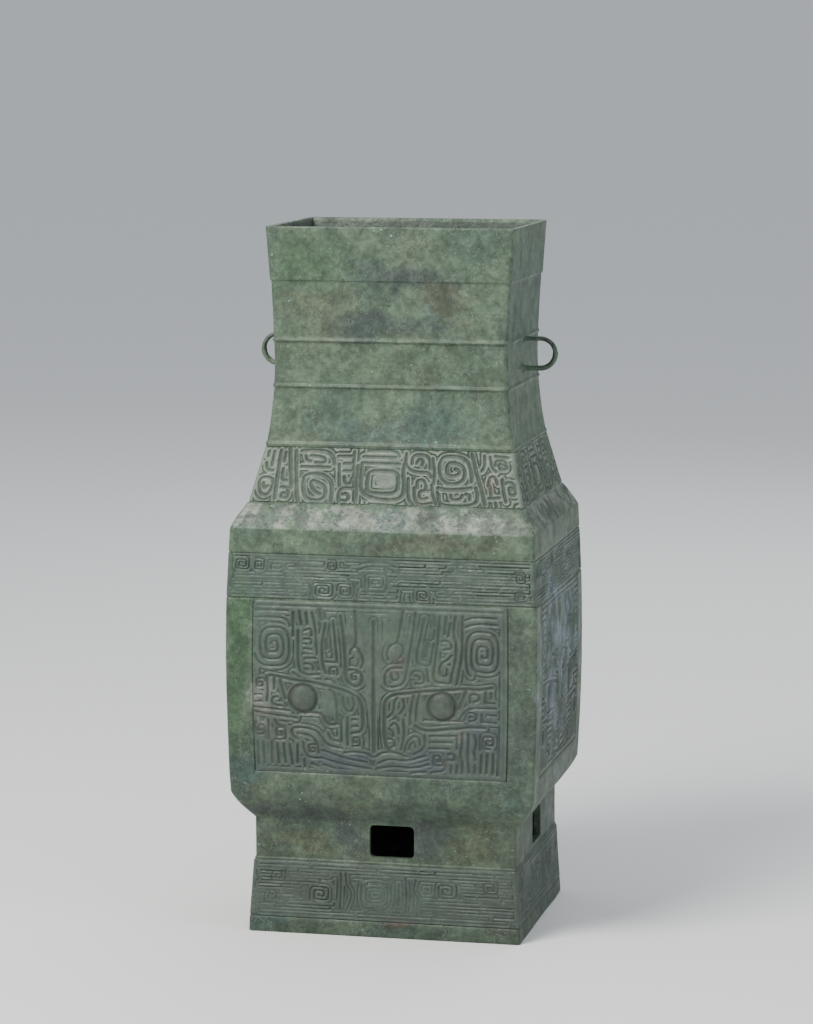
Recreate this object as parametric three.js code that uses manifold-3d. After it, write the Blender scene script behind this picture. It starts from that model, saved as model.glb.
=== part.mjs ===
// A fanghu: a square-shouldered bronze wine vessel with a tall neck, a broad belly,
// a pierced foot and two small ring lugs on the sides of its neck.
// Millimetres, +Z up, front towards -Y. The origin is the middle of the foot's underside.

import * as THREE from "three";
import { mergeVertices } from "three/addons/utils/BufferGeometryUtils.js";
import Module from "manifold-3d";

const wasm = await Module();
wasm.setup();

// Heights of the zones, from the ground up
const footHeight = 45;
const footLedge = 1;
const footNeckHeight = 24;
const bellyCurveHeight = 17;
const bellyHeight = 158;
const bevelHeight = 14.5;
const shoulderHeight = 33.5;
const neckSweepHeight = 58;
const neckRiseHeight = 70;

// Full widths across the front, and full depths across the sides, where two zones meet
const footWidth = 165.4;
const footDepth = 139.4;
const footTopWidth = 160.4;
const footTopDepth = 134.4;
const footNeckWidth = 158.4;
const footNeckDepth = 132.2;
const bellyBaseWidth = 183;
const bellyBaseDepth = 155.4;
const arrisWidth = 181.8;
const arrisDepth = 154;
const shoulderWidth = 165;
const shoulderDepth = 132;
const neckBaseWidth = 148.6;
const neckBaseDepth = 109.8;
const neckWidth = 140.4;
const neckDepth = 101.6;
const rimWidth = 147.6;
const rimDepth = 108.8;

// How far each zone swells beyond the straight line between its ends, a hollow sweep as a minus
const bellyCurveSwell = 1.2;
const bellySwell = 2.2;
const bevelSwell = 0.5;
const neckSweepSwell = -1.6;
const neckRiseSwell = -0.4;

// The shell
const wall = 3;
const footWall = 4;
const floorThickness = 5;
const floorLift = 2;
const cornerRadius = 2.4;
const lipRounding = 0.8;
const lipWall = 1.6;
const lipTaper = 8;

// Raised lines round the neck, and the band below the lip
const upperLineHeight = 353;
const lowerLineHeight = 326;
const neckLineWidth = 3;
const neckLineRelief = 1;
const rimBandWidth = 32;
const rimBandRelief = 0.8;

// The windows through the foot
const windowWidth = 27;
const windowHeight = 19.5;
const windowRadius = 3;
const windowBase = 47.8;
const frontWindowShift = 4.4;
const sideWindowShift = 1.3;

// The ring lugs
const lugBar = 3;
const lugHeight = 20.6;
const lugReach = 20.8;
const lugCentreHeight = 343.4;
const lugRooting = 2.4;

// The carving
const grooveWidth = 1.5;
const grooveDepth = 1.2;
const panelMargin = 16.8;
const panelBase = 99.5;
const panelTop = 202.5;
const eyeRadius = 7.2;
const eyeRelief = 2;
const frontMaskShift = -3.5;
const bellyFriezeTop = 229.5;
const footFriezeBase = 9.5;
const friezeMargin = 4.5;

// Heights where the zones meet
const footTop = footHeight;
const bellyBase = footTop + footNeckHeight;
const bellyCurveTop = bellyBase + bellyCurveHeight;
const arris = bellyCurveTop + bellyHeight;
const shoulderBase = arris + bevelHeight;
const neckBase = shoulderBase + shoulderHeight;
const neckWaist = neckBase + neckSweepHeight;
const rim = neckWaist + neckRiseHeight;
const floorUnderside = bellyBase + floorLift;
const floorTop = floorUnderside + floorThickness;

const cornerSegments = 1;

// The outline, station by station; each swell belongs to the zone that ends there
const stations = [
  { z: 0, width: footWidth, depth: footDepth, swell: 0 },
  { z: footTop - footLedge, width: footTopWidth, depth: footTopDepth, swell: 0 },
  { z: footTop, width: footNeckWidth, depth: footNeckDepth, swell: 0 },
  { z: bellyBase, width: footNeckWidth, depth: footNeckDepth, swell: 0 },
  { z: bellyCurveTop, width: bellyBaseWidth, depth: bellyBaseDepth, swell: bellyCurveSwell },
  { z: arris, width: arrisWidth, depth: arrisDepth, swell: bellySwell },
  { z: shoulderBase, width: shoulderWidth, depth: shoulderDepth, swell: bevelSwell },
  { z: neckBase, width: neckBaseWidth, depth: neckBaseDepth, swell: 0 },
  { z: neckWaist, width: neckWidth, depth: neckDepth, swell: neckSweepSwell },
  { z: rim, width: rimWidth, depth: rimDepth, swell: neckRiseSwell },
];

/** Half the vessel's width and depth at a height. */
function outlineAt(z) {
  const above = stations.findIndex((station, index) => index > 0 && z <= station.z);
  const upper = stations[above < 0 ? stations.length - 1 : above];
  const lower = stations[stations.indexOf(upper) - 1];
  const share = (z - lower.z) / (upper.z - lower.z);
  const swell = 4 * share * (1 - share) * upper.swell;
  return {
    halfWidth: THREE.MathUtils.lerp(lower.width, upper.width, share) / 2 + swell,
    halfDepth: THREE.MathUtils.lerp(lower.depth, upper.depth, share) / 2 + swell,
  };
}

/** One ring of the surface, standing proud of the outline, or behind it as a minus. */
function ring(z, proud = 0) {
  const { halfWidth, halfDepth } = outlineAt(z);
  return { z, halfWidth: halfWidth + proud, halfDepth: halfDepth + proud };
}

/** Rings evenly spaced above one height, up to another. */
function rings(from, to, count, proud = 0) {
  const step = (to - from) / count;
  return Array.from({ length: count }, (_, index) => ring(from + step * (index + 1), proud));
}

/** The four rings of a raised line round the neck. */
function raisedLine(z) {
  const crown = neckLineWidth / 5;
  return [
    ring(z - neckLineWidth / 2),
    ring(z - crown, neckLineRelief),
    ring(z + crown, neckLineRelief),
    ring(z + neckLineWidth / 2),
  ];
}

/** A closed solid from a three.js geometry. */
function solid(geometry) {
  geometry.deleteAttribute("normal");
  geometry.deleteAttribute("uv");
  const merged = mergeVertices(geometry, 1e-4);
  return new wasm.Manifold(new wasm.Mesh({
    numProp: 3,
    vertProperties: new Float32Array(merged.attributes.position.array),
    triVerts: new Uint32Array(merged.index.array),
  }));
}

/** A rectangle with round corners, centred on a point. */
function roundedRectangle(centreX, centreY, halfWidth, halfHeight, radius) {
  const shape = new THREE.Shape();
  const quarter = Math.PI / 2;
  const right = centreX + halfWidth - radius;
  const left = centreX - halfWidth + radius;
  const top = centreY + halfHeight - radius;
  const bottom = centreY - halfHeight + radius;
  shape.absarc(right, top, radius, 0, quarter, false);
  shape.absarc(left, top, radius, quarter, 2 * quarter, false);
  shape.absarc(left, bottom, radius, 2 * quarter, 3 * quarter, false);
  shape.absarc(right, bottom, radius, 3 * quarter, 4 * quarter, false);
  shape.closePath();
  return shape;
}

/** A round-cornered body through a list of rings. */
function loft(ringList) {
  const half = cornerRadius + 1;
  const geometry = new THREE.ExtrudeGeometry(roundedRectangle(0, 0, half, half, cornerRadius), {
    depth: ringList.length - 1,
    steps: ringList.length - 1,
    bevelEnabled: false,
    curveSegments: cornerSegments,
  });
  const points = geometry.attributes.position;
  for (let index = 0; index < points.count; index += 1) {
    const { z, halfWidth, halfDepth } = ringList[Math.round(points.getZ(index))];
    const x = points.getX(index);
    const y = points.getY(index);
    points.setXYZ(index, x + Math.sign(x) * (halfWidth - half), y + Math.sign(y) * (halfDepth - half), z);
  }
  return solid(geometry);
}

/** The outside of the vessel, filled. */
function outerBody() {
  const upperLine = raisedLine(upperLineHeight);
  const lowerLine = raisedLine(lowerLineHeight);
  const shoulderLine = raisedLine(neckBase);
  const bandBase = rim - rimBandWidth;
  return loft([
    ring(0),
    ring(footTop - footLedge),
    ring(footTop),
    ring(bellyBase),
    ...rings(bellyBase, bellyCurveTop, 3),
    ...rings(bellyCurveTop, panelTop, 3),
    ring(arris),
    ...rings(arris, shoulderBase, 2),
    ...shoulderLine,
    ...rings(shoulderLine[3].z, lowerLine[0].z, 4).slice(0, -1),
    ...lowerLine,
    ring((lowerLine[3].z + upperLine[0].z) / 2),
    ...upperLine,
    ...rings(upperLine[3].z, bandBase, 3),
    ring(bandBase + rimBandRelief, rimBandRelief),
    ...rings(bandBase + rimBandRelief, rim - lipRounding, 2, rimBandRelief),
    ring(rim - lipRounding * 0.3, rimBandRelief - lipRounding * 0.3),
    ring(rim, rimBandRelief - lipRounding),
  ]);
}

/** The space inside, from the floor to above the mouth. */
function cavity() {
  const heel = ring(floorTop, -wall - lipRounding);
  const aboveMouth = { ...ring(rim, -lipWall), z: rim + wall };
  return loft([
    heel,
    ring(floorTop + lipRounding, -wall),
    ring(bellyCurveTop, -wall),
    ...rings(bellyCurveTop, arris, 3, -wall),
    ring(shoulderBase, -wall),
    ring(neckBase, -wall),
    ...rings(neckBase, neckWaist, 3, -wall),
    ...rings(neckWaist, rim - lipTaper, 2, -wall),
    ring(rim, -lipWall),
    aboveMouth,
  ]);
}

/** The hollow under the foot. */
function footHollow() {
  const below = { ...ring(0, -footWall), z: -footWall };
  return loft([
    below,
    ring(0, -footWall),
    ring(footTop - footLedge, -footWall),
    ring(footTop, -footWall),
    { ...ring(bellyBase, -footWall), z: floorUnderside },
  ]);
}

/** A round-cornered bar that cuts a window through the foot's wall on one side. */
function windowCut(side, shift) {
  const centre = windowBase + windowHeight / 2;
  const shape = roundedRectangle(shift, centre, windowWidth / 2, windowHeight / 2, windowRadius);
  const { halfWidth, halfDepth } = outlineAt(windowBase);
  const reach = side % 2 === 0 ? halfDepth : halfWidth;
  const geometry = new THREE.ExtrudeGeometry(shape, {
    depth: 1,
    bevelEnabled: false,
    curveSegments: cornerSegments,
  });
  const points = geometry.attributes.position;
  for (let index = 0; index < points.count; index += 1) {
    const out = reach + footWall * (points.getZ(index) * 4 - 3);
    const place = turned(side, points.getX(index), out, points.getY(index));
    points.setXYZ(index, place.x, place.y, place.z);
  }
  return solid(geometry);
}

/** A point on one of the four sides: 0 the front, then 1 to 3 going round by the right. */
function turned(side, along, out, z) {
  const places = [
    new THREE.Vector3(along, -out, z),
    new THREE.Vector3(out, along, z),
    new THREE.Vector3(-along, out, z),
    new THREE.Vector3(-out, -along, z),
  ];
  return places[side];
}

/** A D-shaped ring lug on the +X side of the neck, or on the -X side. */
function lug(direction) {
  const bend = (lugHeight - lugBar) / 2;
  const root = outlineAt(lugCentreHeight).halfWidth - lugRooting;
  const bendCentre = root + lugRooting + lugReach - lugBar / 2 - bend;
  const route = [new THREE.Vector3(direction * root, 0, lugCentreHeight + bend)];
  const bendSteps = 8;
  for (let step = 0; step <= bendSteps; step += 1) {
    const angle = Math.PI / 2 - (Math.PI * step) / bendSteps;
    const x = direction * (bendCentre + bend * Math.cos(angle));
    route.push(new THREE.Vector3(x, 0, lugCentreHeight + bend * Math.sin(angle)));
  }
  route.push(new THREE.Vector3(direction * root, 0, lugCentreHeight - bend));
  const section = new THREE.Shape().absarc(0, 0, lugBar / 2, 0, 2 * Math.PI, false);
  const geometry = new THREE.ExtrudeGeometry(section, {
    steps: 14,
    curveSegments: 4,
    extrudePath: new THREE.CatmullRomCurve3(route, false, "centripetal"),
  });
  return solid(geometry);
}

/** The outline of a groove of one width along a path of points. */
function ribbon(path, width) {
  const half = width / 2;
  const directions = path.slice(1).map((point, index) => point.clone().sub(path[index]).normalize());
  const left = [];
  const right = [];
  path.forEach((point, index) => {
    const before = directions[Math.max(index - 1, 0)];
    const after = directions[Math.min(index, directions.length - 1)];
    const across = new THREE.Vector2(-before.y - after.y, before.x + after.x).normalize();
    const mitre = half / Math.max(across.dot(new THREE.Vector2(-before.y, before.x)), 0.5);
    left.push(point.clone().addScaledVector(across, mitre));
    right.unshift(point.clone().addScaledVector(across, -mitre));
  });
  return new THREE.Shape([...left, ...right]);
}

/** A path through places given as pairs of numbers. */
function path(...pairs) {
  return pairs.map(([along, up]) => new THREE.Vector2(along, up));
}

/** A square or many-sided spiral path, from its middle out; a minus turns it the other way. */
function spiral(along, up, halfWidth, halfHeight, turns, startAngle = 0, corners = 4) {
  const steps = Math.round(Math.abs(turns) * corners);
  const reach = 1 / Math.cos(Math.PI / corners);
  const innermost = 0.25;
  return Array.from({ length: steps + 1 }, (_, step) => {
    const angle = startAngle + (Math.sign(turns) * 2 * Math.PI * (step + 0.5)) / corners;
    const grow = innermost + ((1 - innermost) * step) / steps;
    return new THREE.Vector2(
      along + halfWidth * grow * reach * Math.cos(angle),
      up + halfHeight * grow * reach * Math.sin(angle),
    );
  });
}

/** A closed groove round a rectangle with cut corners. */
function roundedGroove(along, up, halfWidth, halfHeight) {
  const corner = Math.min(halfWidth, halfHeight) * 0.5;
  const left = along - halfWidth;
  const right = along + halfWidth;
  const top = up + halfHeight;
  const bottom = up - halfHeight;
  return path(
    [along, top],
    [right - corner, top],
    [right, top - corner],
    [right, bottom + corner],
    [right - corner, bottom],
    [left + corner, bottom],
    [left, bottom + corner],
    [left, top - corner],
    [left + corner, top],
    [along - 0.1, top],
  );
}

/** The same paths on the other half of a side. */
function mirrored(paths) {
  return paths.map((points) => points.map((point) => new THREE.Vector2(-point.x, point.y)).reverse());
}

// The mask, right of its nose, on a grid that each side's panel stretches
const maskGrid = { halfWidth: 76.5, height: 103 };
const eyeAlong = 41.6;
const eyeUp = 44;
const hornAlong = 62.5;
const hornUp = 75.5;
const hornHalfWidth = 11.5;
const hornHalfHeight = 17;
const maskFrame = path([0, 103], [76.5, 103], [76.5, 0], [0, 0]);
const maskOutlines = [
  path([3.2, 97], [3.2, 15]),
  spiral(hornAlong, hornUp, hornHalfWidth, hornHalfHeight, 2, Math.PI, 6),
  path([48.7, 94.5], [48.7, 58]),
  path([34.5, 97.5], [33, 57.5], [43, 57.5]),
  path([21, 97.5], [18, 68.5], [15, 57.5], [9.5, 53], [5.5, 57.5], [9, 62.5]),
  path([60, 57.5], [25, 52.5], [14, 49], [8.6, 42.5], [8, 20.5]),
  path([22.5, 48.5], [22.5, 29], [31.5, 29.5], [32.5, 33.5], [62, 32]),
  spiral(60, 21, 6.5, 6.5, 1.5, 0),
];
const maskFillings = [
  path([26.6, 92.5], [24.2, 68.5]),
  path([30.5, 22], [46, 22.5]),
  spiral(38, 12.5, 5, 5, 1.5, Math.PI),
  path([69, 17.5], [69, 3]),
  path([33, 4], [16, 13], [3.5, 9]),
];

// The shoulder frieze, on a grid that narrows towards the neck with the side
const shoulderGrid = { halfWidth: 74, height: 31 };
const smallCoil = 4.6;
const endCoilAlong = 68;
const bigCoilHalfWidth = 11.5;
const bigCoilHalfHeight = 9.5;
const shoulderOutlines = [
  roundedGroove(0, 11.5, 8.6, 6.6),
  path([-13.5, 22], [-13.5, 7], [-9, 2], [9, 2], [13.5, 7], [13.5, 22]),
  spiral(-43.3, 11, bigCoilHalfWidth, bigCoilHalfHeight, 2, 0, 6),
  spiral(40.2, 18, bigCoilHalfWidth, bigCoilHalfHeight, 2, Math.PI, 6),
  spiral(-24.5, 6.5, smallCoil, smallCoil, 1.5, 0),
  spiral(22.5, 6.5, smallCoil, smallCoil, 1.5, Math.PI),
  spiral(-endCoilAlong, 8, smallCoil, smallCoil, 1.5, 0),
  spiral(endCoilAlong, 10, smallCoil, smallCoil, 1.5, Math.PI),
];
const shoulderFillings = [
  path([-54, 27], [-35, 27.5], [-31, 24]),
  path([31, 3], [51, 3], [51, 6]),
  spiral(21.5, 21, smallCoil, smallCoil, 1.5, 0),
  path([-58, 28], [-58, 2]),
  path([57, 28], [57, 2]),
];

// The worn frieze at the top of the belly
const bellyGrid = { halfWidth: 86, height: 27 };
const bellyOutlines = [
  path([-86, 26], [86, 26]),
  path([-86, 13], [-12, 13]),
  path([12, 13], [86, 13]),
];
const bellyFillings = [spiral(-33, 5.5, 4.5, 4, 1.5, 0)];

// The worn frieze on the foot
const footGrid = { halfWidth: 76, height: 34 };
const footOutlines = [
  path([-76, 1], [76, 1]),
  path([-76, 25], [-20, 25]),
  path([16, 25], [76, 25]),
  roundedGroove(-6, 17, 6.5, 5.5),
];
const footFillings = [path([16, 9], [76, 9])];

/** How far a side's plain face reaches from its middle, at a height. */
function sideReach(side, z) {
  const { halfWidth, halfDepth } = outlineAt(z);
  return side % 2 === 0 ? halfWidth : halfDepth;
}

/** How far a side's face stands out from the middle of the vessel, at a height. */
function sideOut(side, z) {
  return sideReach(side + 1, z);
}

// Each carved zone: its heights, its grid, and how far it stays from the side's edges
const panelZone = { base: panelBase, top: panelTop, grid: maskGrid, margin: panelMargin, straight: true };
const maskZone = { ...panelZone, frontShift: frontMaskShift };
const carvedZones = [
  { ...panelZone, main: [maskFrame, ...mirrored([maskFrame])], fine: [] },
  { ...maskZone, main: maskOutlines, fine: maskFillings },
  { ...maskZone, main: mirrored(maskOutlines), fine: mirrored(maskFillings) },
  {
    base: shoulderBase,
    top: neckBase - neckLineWidth / 2,
    grid: shoulderGrid,
    margin: friezeMargin,
    straight: false,
    main: shoulderOutlines,
    fine: shoulderFillings,
  },
  {
    base: panelTop,
    top: bellyFriezeTop,
    grid: bellyGrid,
    margin: friezeMargin,
    straight: true,
    main: bellyOutlines,
    fine: bellyFillings,
  },
  {
    base: footFriezeBase,
    top: footTop - footLedge,
    grid: footGrid,
    margin: friezeMargin,
    straight: false,
    main: footOutlines,
    fine: footFillings,
  },
];

/** Where a point of a zone's grid lies on one side; the front's mask sits off its middle. */
function onZone(side, zone, along, up) {
  const z = zone.base + ((zone.top - zone.base) * up) / zone.grid.height;
  const widest = zone.straight ? (zone.base + zone.top) / 2 : z;
  const squeeze = (sideReach(side, widest) - zone.margin) / zone.grid.halfWidth;
  const shift = side === 0 ? zone.frontShift ?? 0 : 0;
  return { along: along * squeeze + shift, z };
}

/** The cutter of one groove on one side, following the side's slope. */
function grooveCutter(side, zone, points) {
  const geometry = new THREE.ExtrudeGeometry(ribbon(points, grooveWidth), {
    depth: 1,
    bevelEnabled: false,
  });
  const places = geometry.attributes.position;
  for (let index = 0; index < places.count; index += 1) {
    const { along, z } = onZone(side, zone, places.getX(index), places.getY(index));
    const out = sideOut(side, z) + grooveDepth * (2 * places.getZ(index) - 1);
    const place = turned(side, along, out, z);
    places.setXYZ(index, place.x, place.y, place.z);
  }
  return solid(geometry);
}

/** The two eyes of the mask on one side: each a dome in a round channel. */
function eyes(side) {
  return [-1, 1].map((direction) => {
    const { along, z } = onZone(side, maskZone, direction * eyeAlong, eyeUp);
    const bed = turned(side, along, sideOut(side, z) - grooveDepth, z);
    const outward = turned(side, 0, 1, 0);
    const turn = new THREE.Quaternion().setFromUnitVectors(new THREE.Vector3(0, 1, 0), outward);
    const dome = new THREE.SphereGeometry(1, 8, 4);
    dome.scale(eyeRadius, eyeRelief + grooveDepth, eyeRadius);
    const channelRadius = eyeRadius + grooveWidth;
    const channel = new THREE.CylinderGeometry(channelRadius, channelRadius, 2 * grooveDepth, 8);
    channel.translate(0, grooveDepth, 0);
    [dome, channel].forEach((geometry) => {
      geometry.applyQuaternion(turn);
      geometry.translate(bed.x, bed.y, bed.z);
    });
    return { dome: solid(dome), channel: solid(channel) };
  });
}

/** The whole casting. */
function vesselSolid() {
  const sides = [0, 1, 2, 3];
  const windowShifts = [frontWindowShift, sideWindowShift, 0, 0];
  let body = outerBody();
  sides.forEach((side) => {
    carvedZones.forEach((zone) => {
      const grooves = side % 2 === 0 ? [...zone.main, ...zone.fine] : zone.main;
      grooves.forEach((points) => {
        body = body.subtract(grooveCutter(side, zone, points));
      });
    });
    eyes(side).forEach(({ dome, channel }) => {
      body = body.subtract(channel).add(dome);
    });
    body = body.subtract(windowCut(side, windowShifts[side]));
  });
  return body.add(lug(1)).add(lug(-1)).subtract(cavity()).subtract(footHollow());
}

/** A mesh from a finished solid. */
function meshFrom(manifold, name, material) {
  const { vertProperties, triVerts } = manifold.getMesh();
  const geometry = new THREE.BufferGeometry();
  geometry.setAttribute("position", new THREE.BufferAttribute(vertProperties, 3));
  geometry.setIndex(new THREE.BufferAttribute(triVerts, 1));
  geometry.computeVertexNormals();
  const mesh = new THREE.Mesh(geometry, material);
  mesh.name = name;
  return mesh;
}

const patinatedBronze = new THREE.MeshStandardMaterial({
  color: 0x5e7566,
  roughness: 0.72,
  metalness: 0.25,
});

const fanghu = new THREE.Group();
fanghu.add(meshFrom(vesselSolid(), "vessel", patinatedBronze));

export default fanghu;
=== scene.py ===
# %% [markdown]
# # An old bronze fanghu
#
# A fanghu is a square-bodied wine vessel cast in bronze some three thousand years ago. This lesson
# dresses its plain solid model: it rebuilds the skin as finely divided meshes, sinks the cast
# ornament into them, and ages the metal with a patina made of shader nodes. Everything is placed in
# metres on the frame that the solid model gives, so the dressed vessel is exactly as large.

# %% Load the solid model
import math

import bmesh
import bpy
import numpy as np
from mathutils import Matrix, Vector


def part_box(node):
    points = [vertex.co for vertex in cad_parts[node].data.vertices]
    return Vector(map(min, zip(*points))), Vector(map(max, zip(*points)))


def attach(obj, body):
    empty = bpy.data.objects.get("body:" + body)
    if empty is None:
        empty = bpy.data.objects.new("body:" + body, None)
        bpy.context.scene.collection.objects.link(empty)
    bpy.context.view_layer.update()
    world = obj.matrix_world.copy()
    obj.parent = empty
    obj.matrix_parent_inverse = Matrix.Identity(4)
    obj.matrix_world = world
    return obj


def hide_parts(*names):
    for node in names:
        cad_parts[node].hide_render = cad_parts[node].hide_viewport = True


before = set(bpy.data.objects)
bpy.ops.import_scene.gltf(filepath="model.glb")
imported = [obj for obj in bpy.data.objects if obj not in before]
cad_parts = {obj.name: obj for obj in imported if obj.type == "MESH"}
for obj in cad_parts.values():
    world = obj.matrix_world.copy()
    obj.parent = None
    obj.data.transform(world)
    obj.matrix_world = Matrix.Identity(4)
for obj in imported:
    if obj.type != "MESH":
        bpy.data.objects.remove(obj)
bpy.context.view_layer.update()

MM = 0.001
low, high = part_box("vessel")
HEIGHT = high.z - low.z
print(f"The vessel stands {HEIGHT / MM:.0f} mm tall and {(high.x - low.x) / MM:.0f} mm wide.")

# %% [markdown]
# ## The outline
#
# Seen from the front the vessel is a stack of zones: a flared foot, a short foot neck, a broad belly,
# a sloping bevel, the steeper shoulder frieze, and a neck that sweeps in and then out to the rim.
# Each station below gives the full width and depth where two zones meet, and how far the zone
# beneath it swells beyond a straight line. A formula between stations is easier to change than a
# drawn curve, and it gives the outline at any height that a mesh row needs.

# %% The stations of the outline
FOOT_TOP = 45 * MM
FOOT_LEDGE = 1 * MM
BELLY_BASE = 69 * MM
BELLY_CURVE_TOP = 86 * MM
ARRIS = 244 * MM
SHOULDER_BASE = 258.5 * MM
NECK_BASE = 292 * MM
NECK_WAIST = 350 * MM
STATIONS = np.array(
    [
        # height, width, depth, swell of the zone beneath
        (0, 165.4, 139.4, 0),
        ((FOOT_TOP - FOOT_LEDGE) / MM, 160.4, 134.4, 0),
        (FOOT_TOP / MM, 158.4, 132.2, 0),
        (BELLY_BASE / MM, 158.4, 132.2, 0),
        (BELLY_CURVE_TOP / MM, 183.0, 155.4, 1.2),
        (ARRIS / MM, 181.8, 154.0, 2.2),
        (SHOULDER_BASE / MM, 165.0, 132.0, 0.5),
        (NECK_BASE / MM, 148.6, 109.8, 0),
        (NECK_WAIST / MM, 140.4, 101.6, -1.6),
        (HEIGHT / MM, 147.6, 108.8, -0.4),
    ]
) * MM
CORNER = 2.4 * MM
WALL = 3 * MM
FOOT_WALL = 4 * MM
LIP_WALL = 1.6 * MM
LIP_TAPER = 8 * MM


def outline(z):
    """Half the plain width and half the plain depth at each height."""
    z = np.clip(np.asarray(z, float), 0, HEIGHT)
    upper = np.clip(np.searchsorted(STATIONS[:, 0], z), 1, len(STATIONS) - 1)
    below, above = STATIONS[upper - 1], STATIONS[upper]
    share = (z - below[..., 0]) / (above[..., 0] - below[..., 0])
    swell = 4 * share * (1 - share) * above[..., 3]
    halves = below[..., 1:3] + (above[..., 1:3] - below[..., 1:3]) * share[..., None]
    return halves / 2 + swell[..., None]


def soft_outline(z):
    """The outline with its arrises worn round, as the mean over a short stretch of height."""
    wear = 0.35 * MM
    return np.mean([outline(z + shift) for shift in (-wear, -wear / 2, 0, wear / 2, wear)], axis=0)


# %% [markdown]
# ## Uneven metal
#
# No old casting is true. Its faces wave by a few tenths of a millimetre and its surface is pitted.
# The waves have to be in the mesh, because light grazing a flat face shows them from across a room.
# A lattice of seeded random numbers, blended smoothly between its points, gives the same waves on
# every run and costs little for half a million points.

# %% A smooth lattice noise
LATTICE = np.random.default_rng(1046).random((32, 32, 32)) * 2 - 1


def noise(points, size, shift=0.0):
    """Smooth noise from -1 to 1 at points, with waves of about the size given."""
    place = points / size + 100.0 + shift
    cell = np.floor(place).astype(int)
    part = place - cell
    part = part * part * (3 - 2 * part)
    total = np.zeros(len(points))
    for corner in np.ndindex(2, 2, 2):
        weight = np.ones(len(points))
        for axis, side in enumerate(corner):
            weight *= part[:, axis] if side else 1 - part[:, axis]
        x, y, z = ((cell + corner) % 32).T
        total += weight * LATTICE[x, y, z]
    return total


def casting_waves(points):
    """How far the cast surface stands off its true place, in metres."""
    return (
        0.30 * noise(points, 45 * MM)
        + 0.14 * noise(points, 17 * MM, 7.3)
        + 0.06 * noise(points, 6 * MM, 3.1)
        + 0.05 * noise(points, 2.2 * MM, 5.7)
    ) * MM


# %% [markdown]
# ## The camera and the light
#
# The photograph was taken from a little to the right of the front and a little above the belly, with
# a long lens. The place and turn below were fitted to the corners of the vessel in the picture.

# %% Camera
camera_data = bpy.data.cameras.new("camera")
camera_data.sensor_width = 36
camera_data.lens = 123.42
camera = bpy.data.objects.new("camera", camera_data)
camera.location = (0.45085, -2.04890, 0.52972)
camera.rotation_euler = (math.radians(90 - 7.7065), 0, math.radians(12.4435))
bpy.context.scene.collection.objects.link(camera)
bpy.context.scene.camera = camera

# %% [markdown]
# A broad soft light stands above and to the left, a weaker cool one fills the shaded right side, and
# a wide one stands behind. The floor is one plain pale tone. The sky is as pale as the far floor where
# the two meet, so no line shows behind the vessel.

# %% Floor, lights and sky
FLOOR_SIZE = 400.0
FLOOR_TONE = (0.80, 0.79, 0.77, 1)
SKY_STRENGTH = 0.92
SKY_TONES = [
    # sine of the angle above the horizon, tone: pale at the floor's far edge, dark, bright overhead
    (0.015, (0.50, 0.53, 0.57, 1)),
    (0.05, (0.05, 0.05, 0.05, 1)),
    (0.8, (0.78, 0.84, 0.92, 1)),
]


def floor_finish():
    """Plain pale paper without gloss."""
    finish = bpy.data.materials.new("floor")
    finish.use_nodes = True
    shader = finish.node_tree.nodes["Principled BSDF"]
    shader.inputs["Base Color"].default_value = FLOOR_TONE
    shader.inputs["Roughness"].default_value = 1.0
    shader.inputs["Specular IOR Level"].default_value = 0.0
    return finish


def add_floor():
    mesh = bpy.data.meshes.new("floor")
    shape = bmesh.new()
    bmesh.ops.create_grid(shape, x_segments=1, y_segments=1, size=FLOOR_SIZE / 2)
    shape.to_mesh(mesh)
    shape.free()
    floor = bpy.data.objects.new("floor", mesh)
    bpy.context.scene.collection.objects.link(floor)
    mesh.materials.append(floor_finish())


def add_sky():
    """A sky that is bright overhead, which lights the vessel softly from above."""
    world = bpy.data.worlds.new("studio")
    world.use_nodes = True
    tree = world.node_tree
    place = tree.nodes.new("ShaderNodeTexCoord")
    parts = tree.nodes.new("ShaderNodeSeparateXYZ")
    ramp = tree.nodes.new("ShaderNodeValToRGB")
    ramp.color_ramp.interpolation = "EASE"
    stops = ramp.color_ramp.elements
    while len(stops) < len(SKY_TONES):
        stops.new(0.5)
    for stop, (sine, shade) in zip(stops, SKY_TONES):
        stop.position = sine
        stop.color = shade
    tree.links.new(place.outputs["Generated"], parts.inputs["Vector"])
    tree.links.new(parts.outputs["Z"], ramp.inputs["Fac"])
    tree.links.new(ramp.outputs["Color"], tree.nodes["Background"].inputs["Color"])
    tree.nodes["Background"].inputs["Strength"].default_value = SKY_STRENGTH
    bpy.context.scene.world = world


def add_light(name, place, aim, size, power, tone):
    data = bpy.data.lights.new(name, "AREA")
    data.shape = "RECTANGLE"
    data.size, data.size_y = size
    data.energy = power
    data.color = tone
    lamp = bpy.data.objects.new(name, data)
    lamp.location = place
    lamp.rotation_euler = (Vector(aim) - Vector(place)).to_track_quat("-Z", "Y").to_euler()
    bpy.context.scene.collection.objects.link(lamp)


add_floor()
add_sky()
add_light("key", (-0.62, -0.98, 1.42), (0, 0, 0.25), (0.7, 0.7), 38, (1.0, 0.98, 0.95))
add_light("fill", (1.7, -0.5, 0.8), (0, 0, 0.2), (0.9, 0.9), 8, (0.86, 0.93, 1.0))
add_light("back", (0.3, 1.6, 1.4), (0, 0, 0.25), (1.2, 0.8), 11, (1.0, 1.0, 1.0))

# %% [markdown]
# ## Rings round the vessel
#
# Every zone is a rounded rectangle seen from above, so every mesh here is a flat grid wrapped round
# it. A column of the grid keeps its share of a face's width at every height, and the columns at the
# four corners turn through a quarter circle. The grid comes from one operator, and only its points
# are moved, all at once with numpy, which is hundreds of times faster than one by one.

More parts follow.
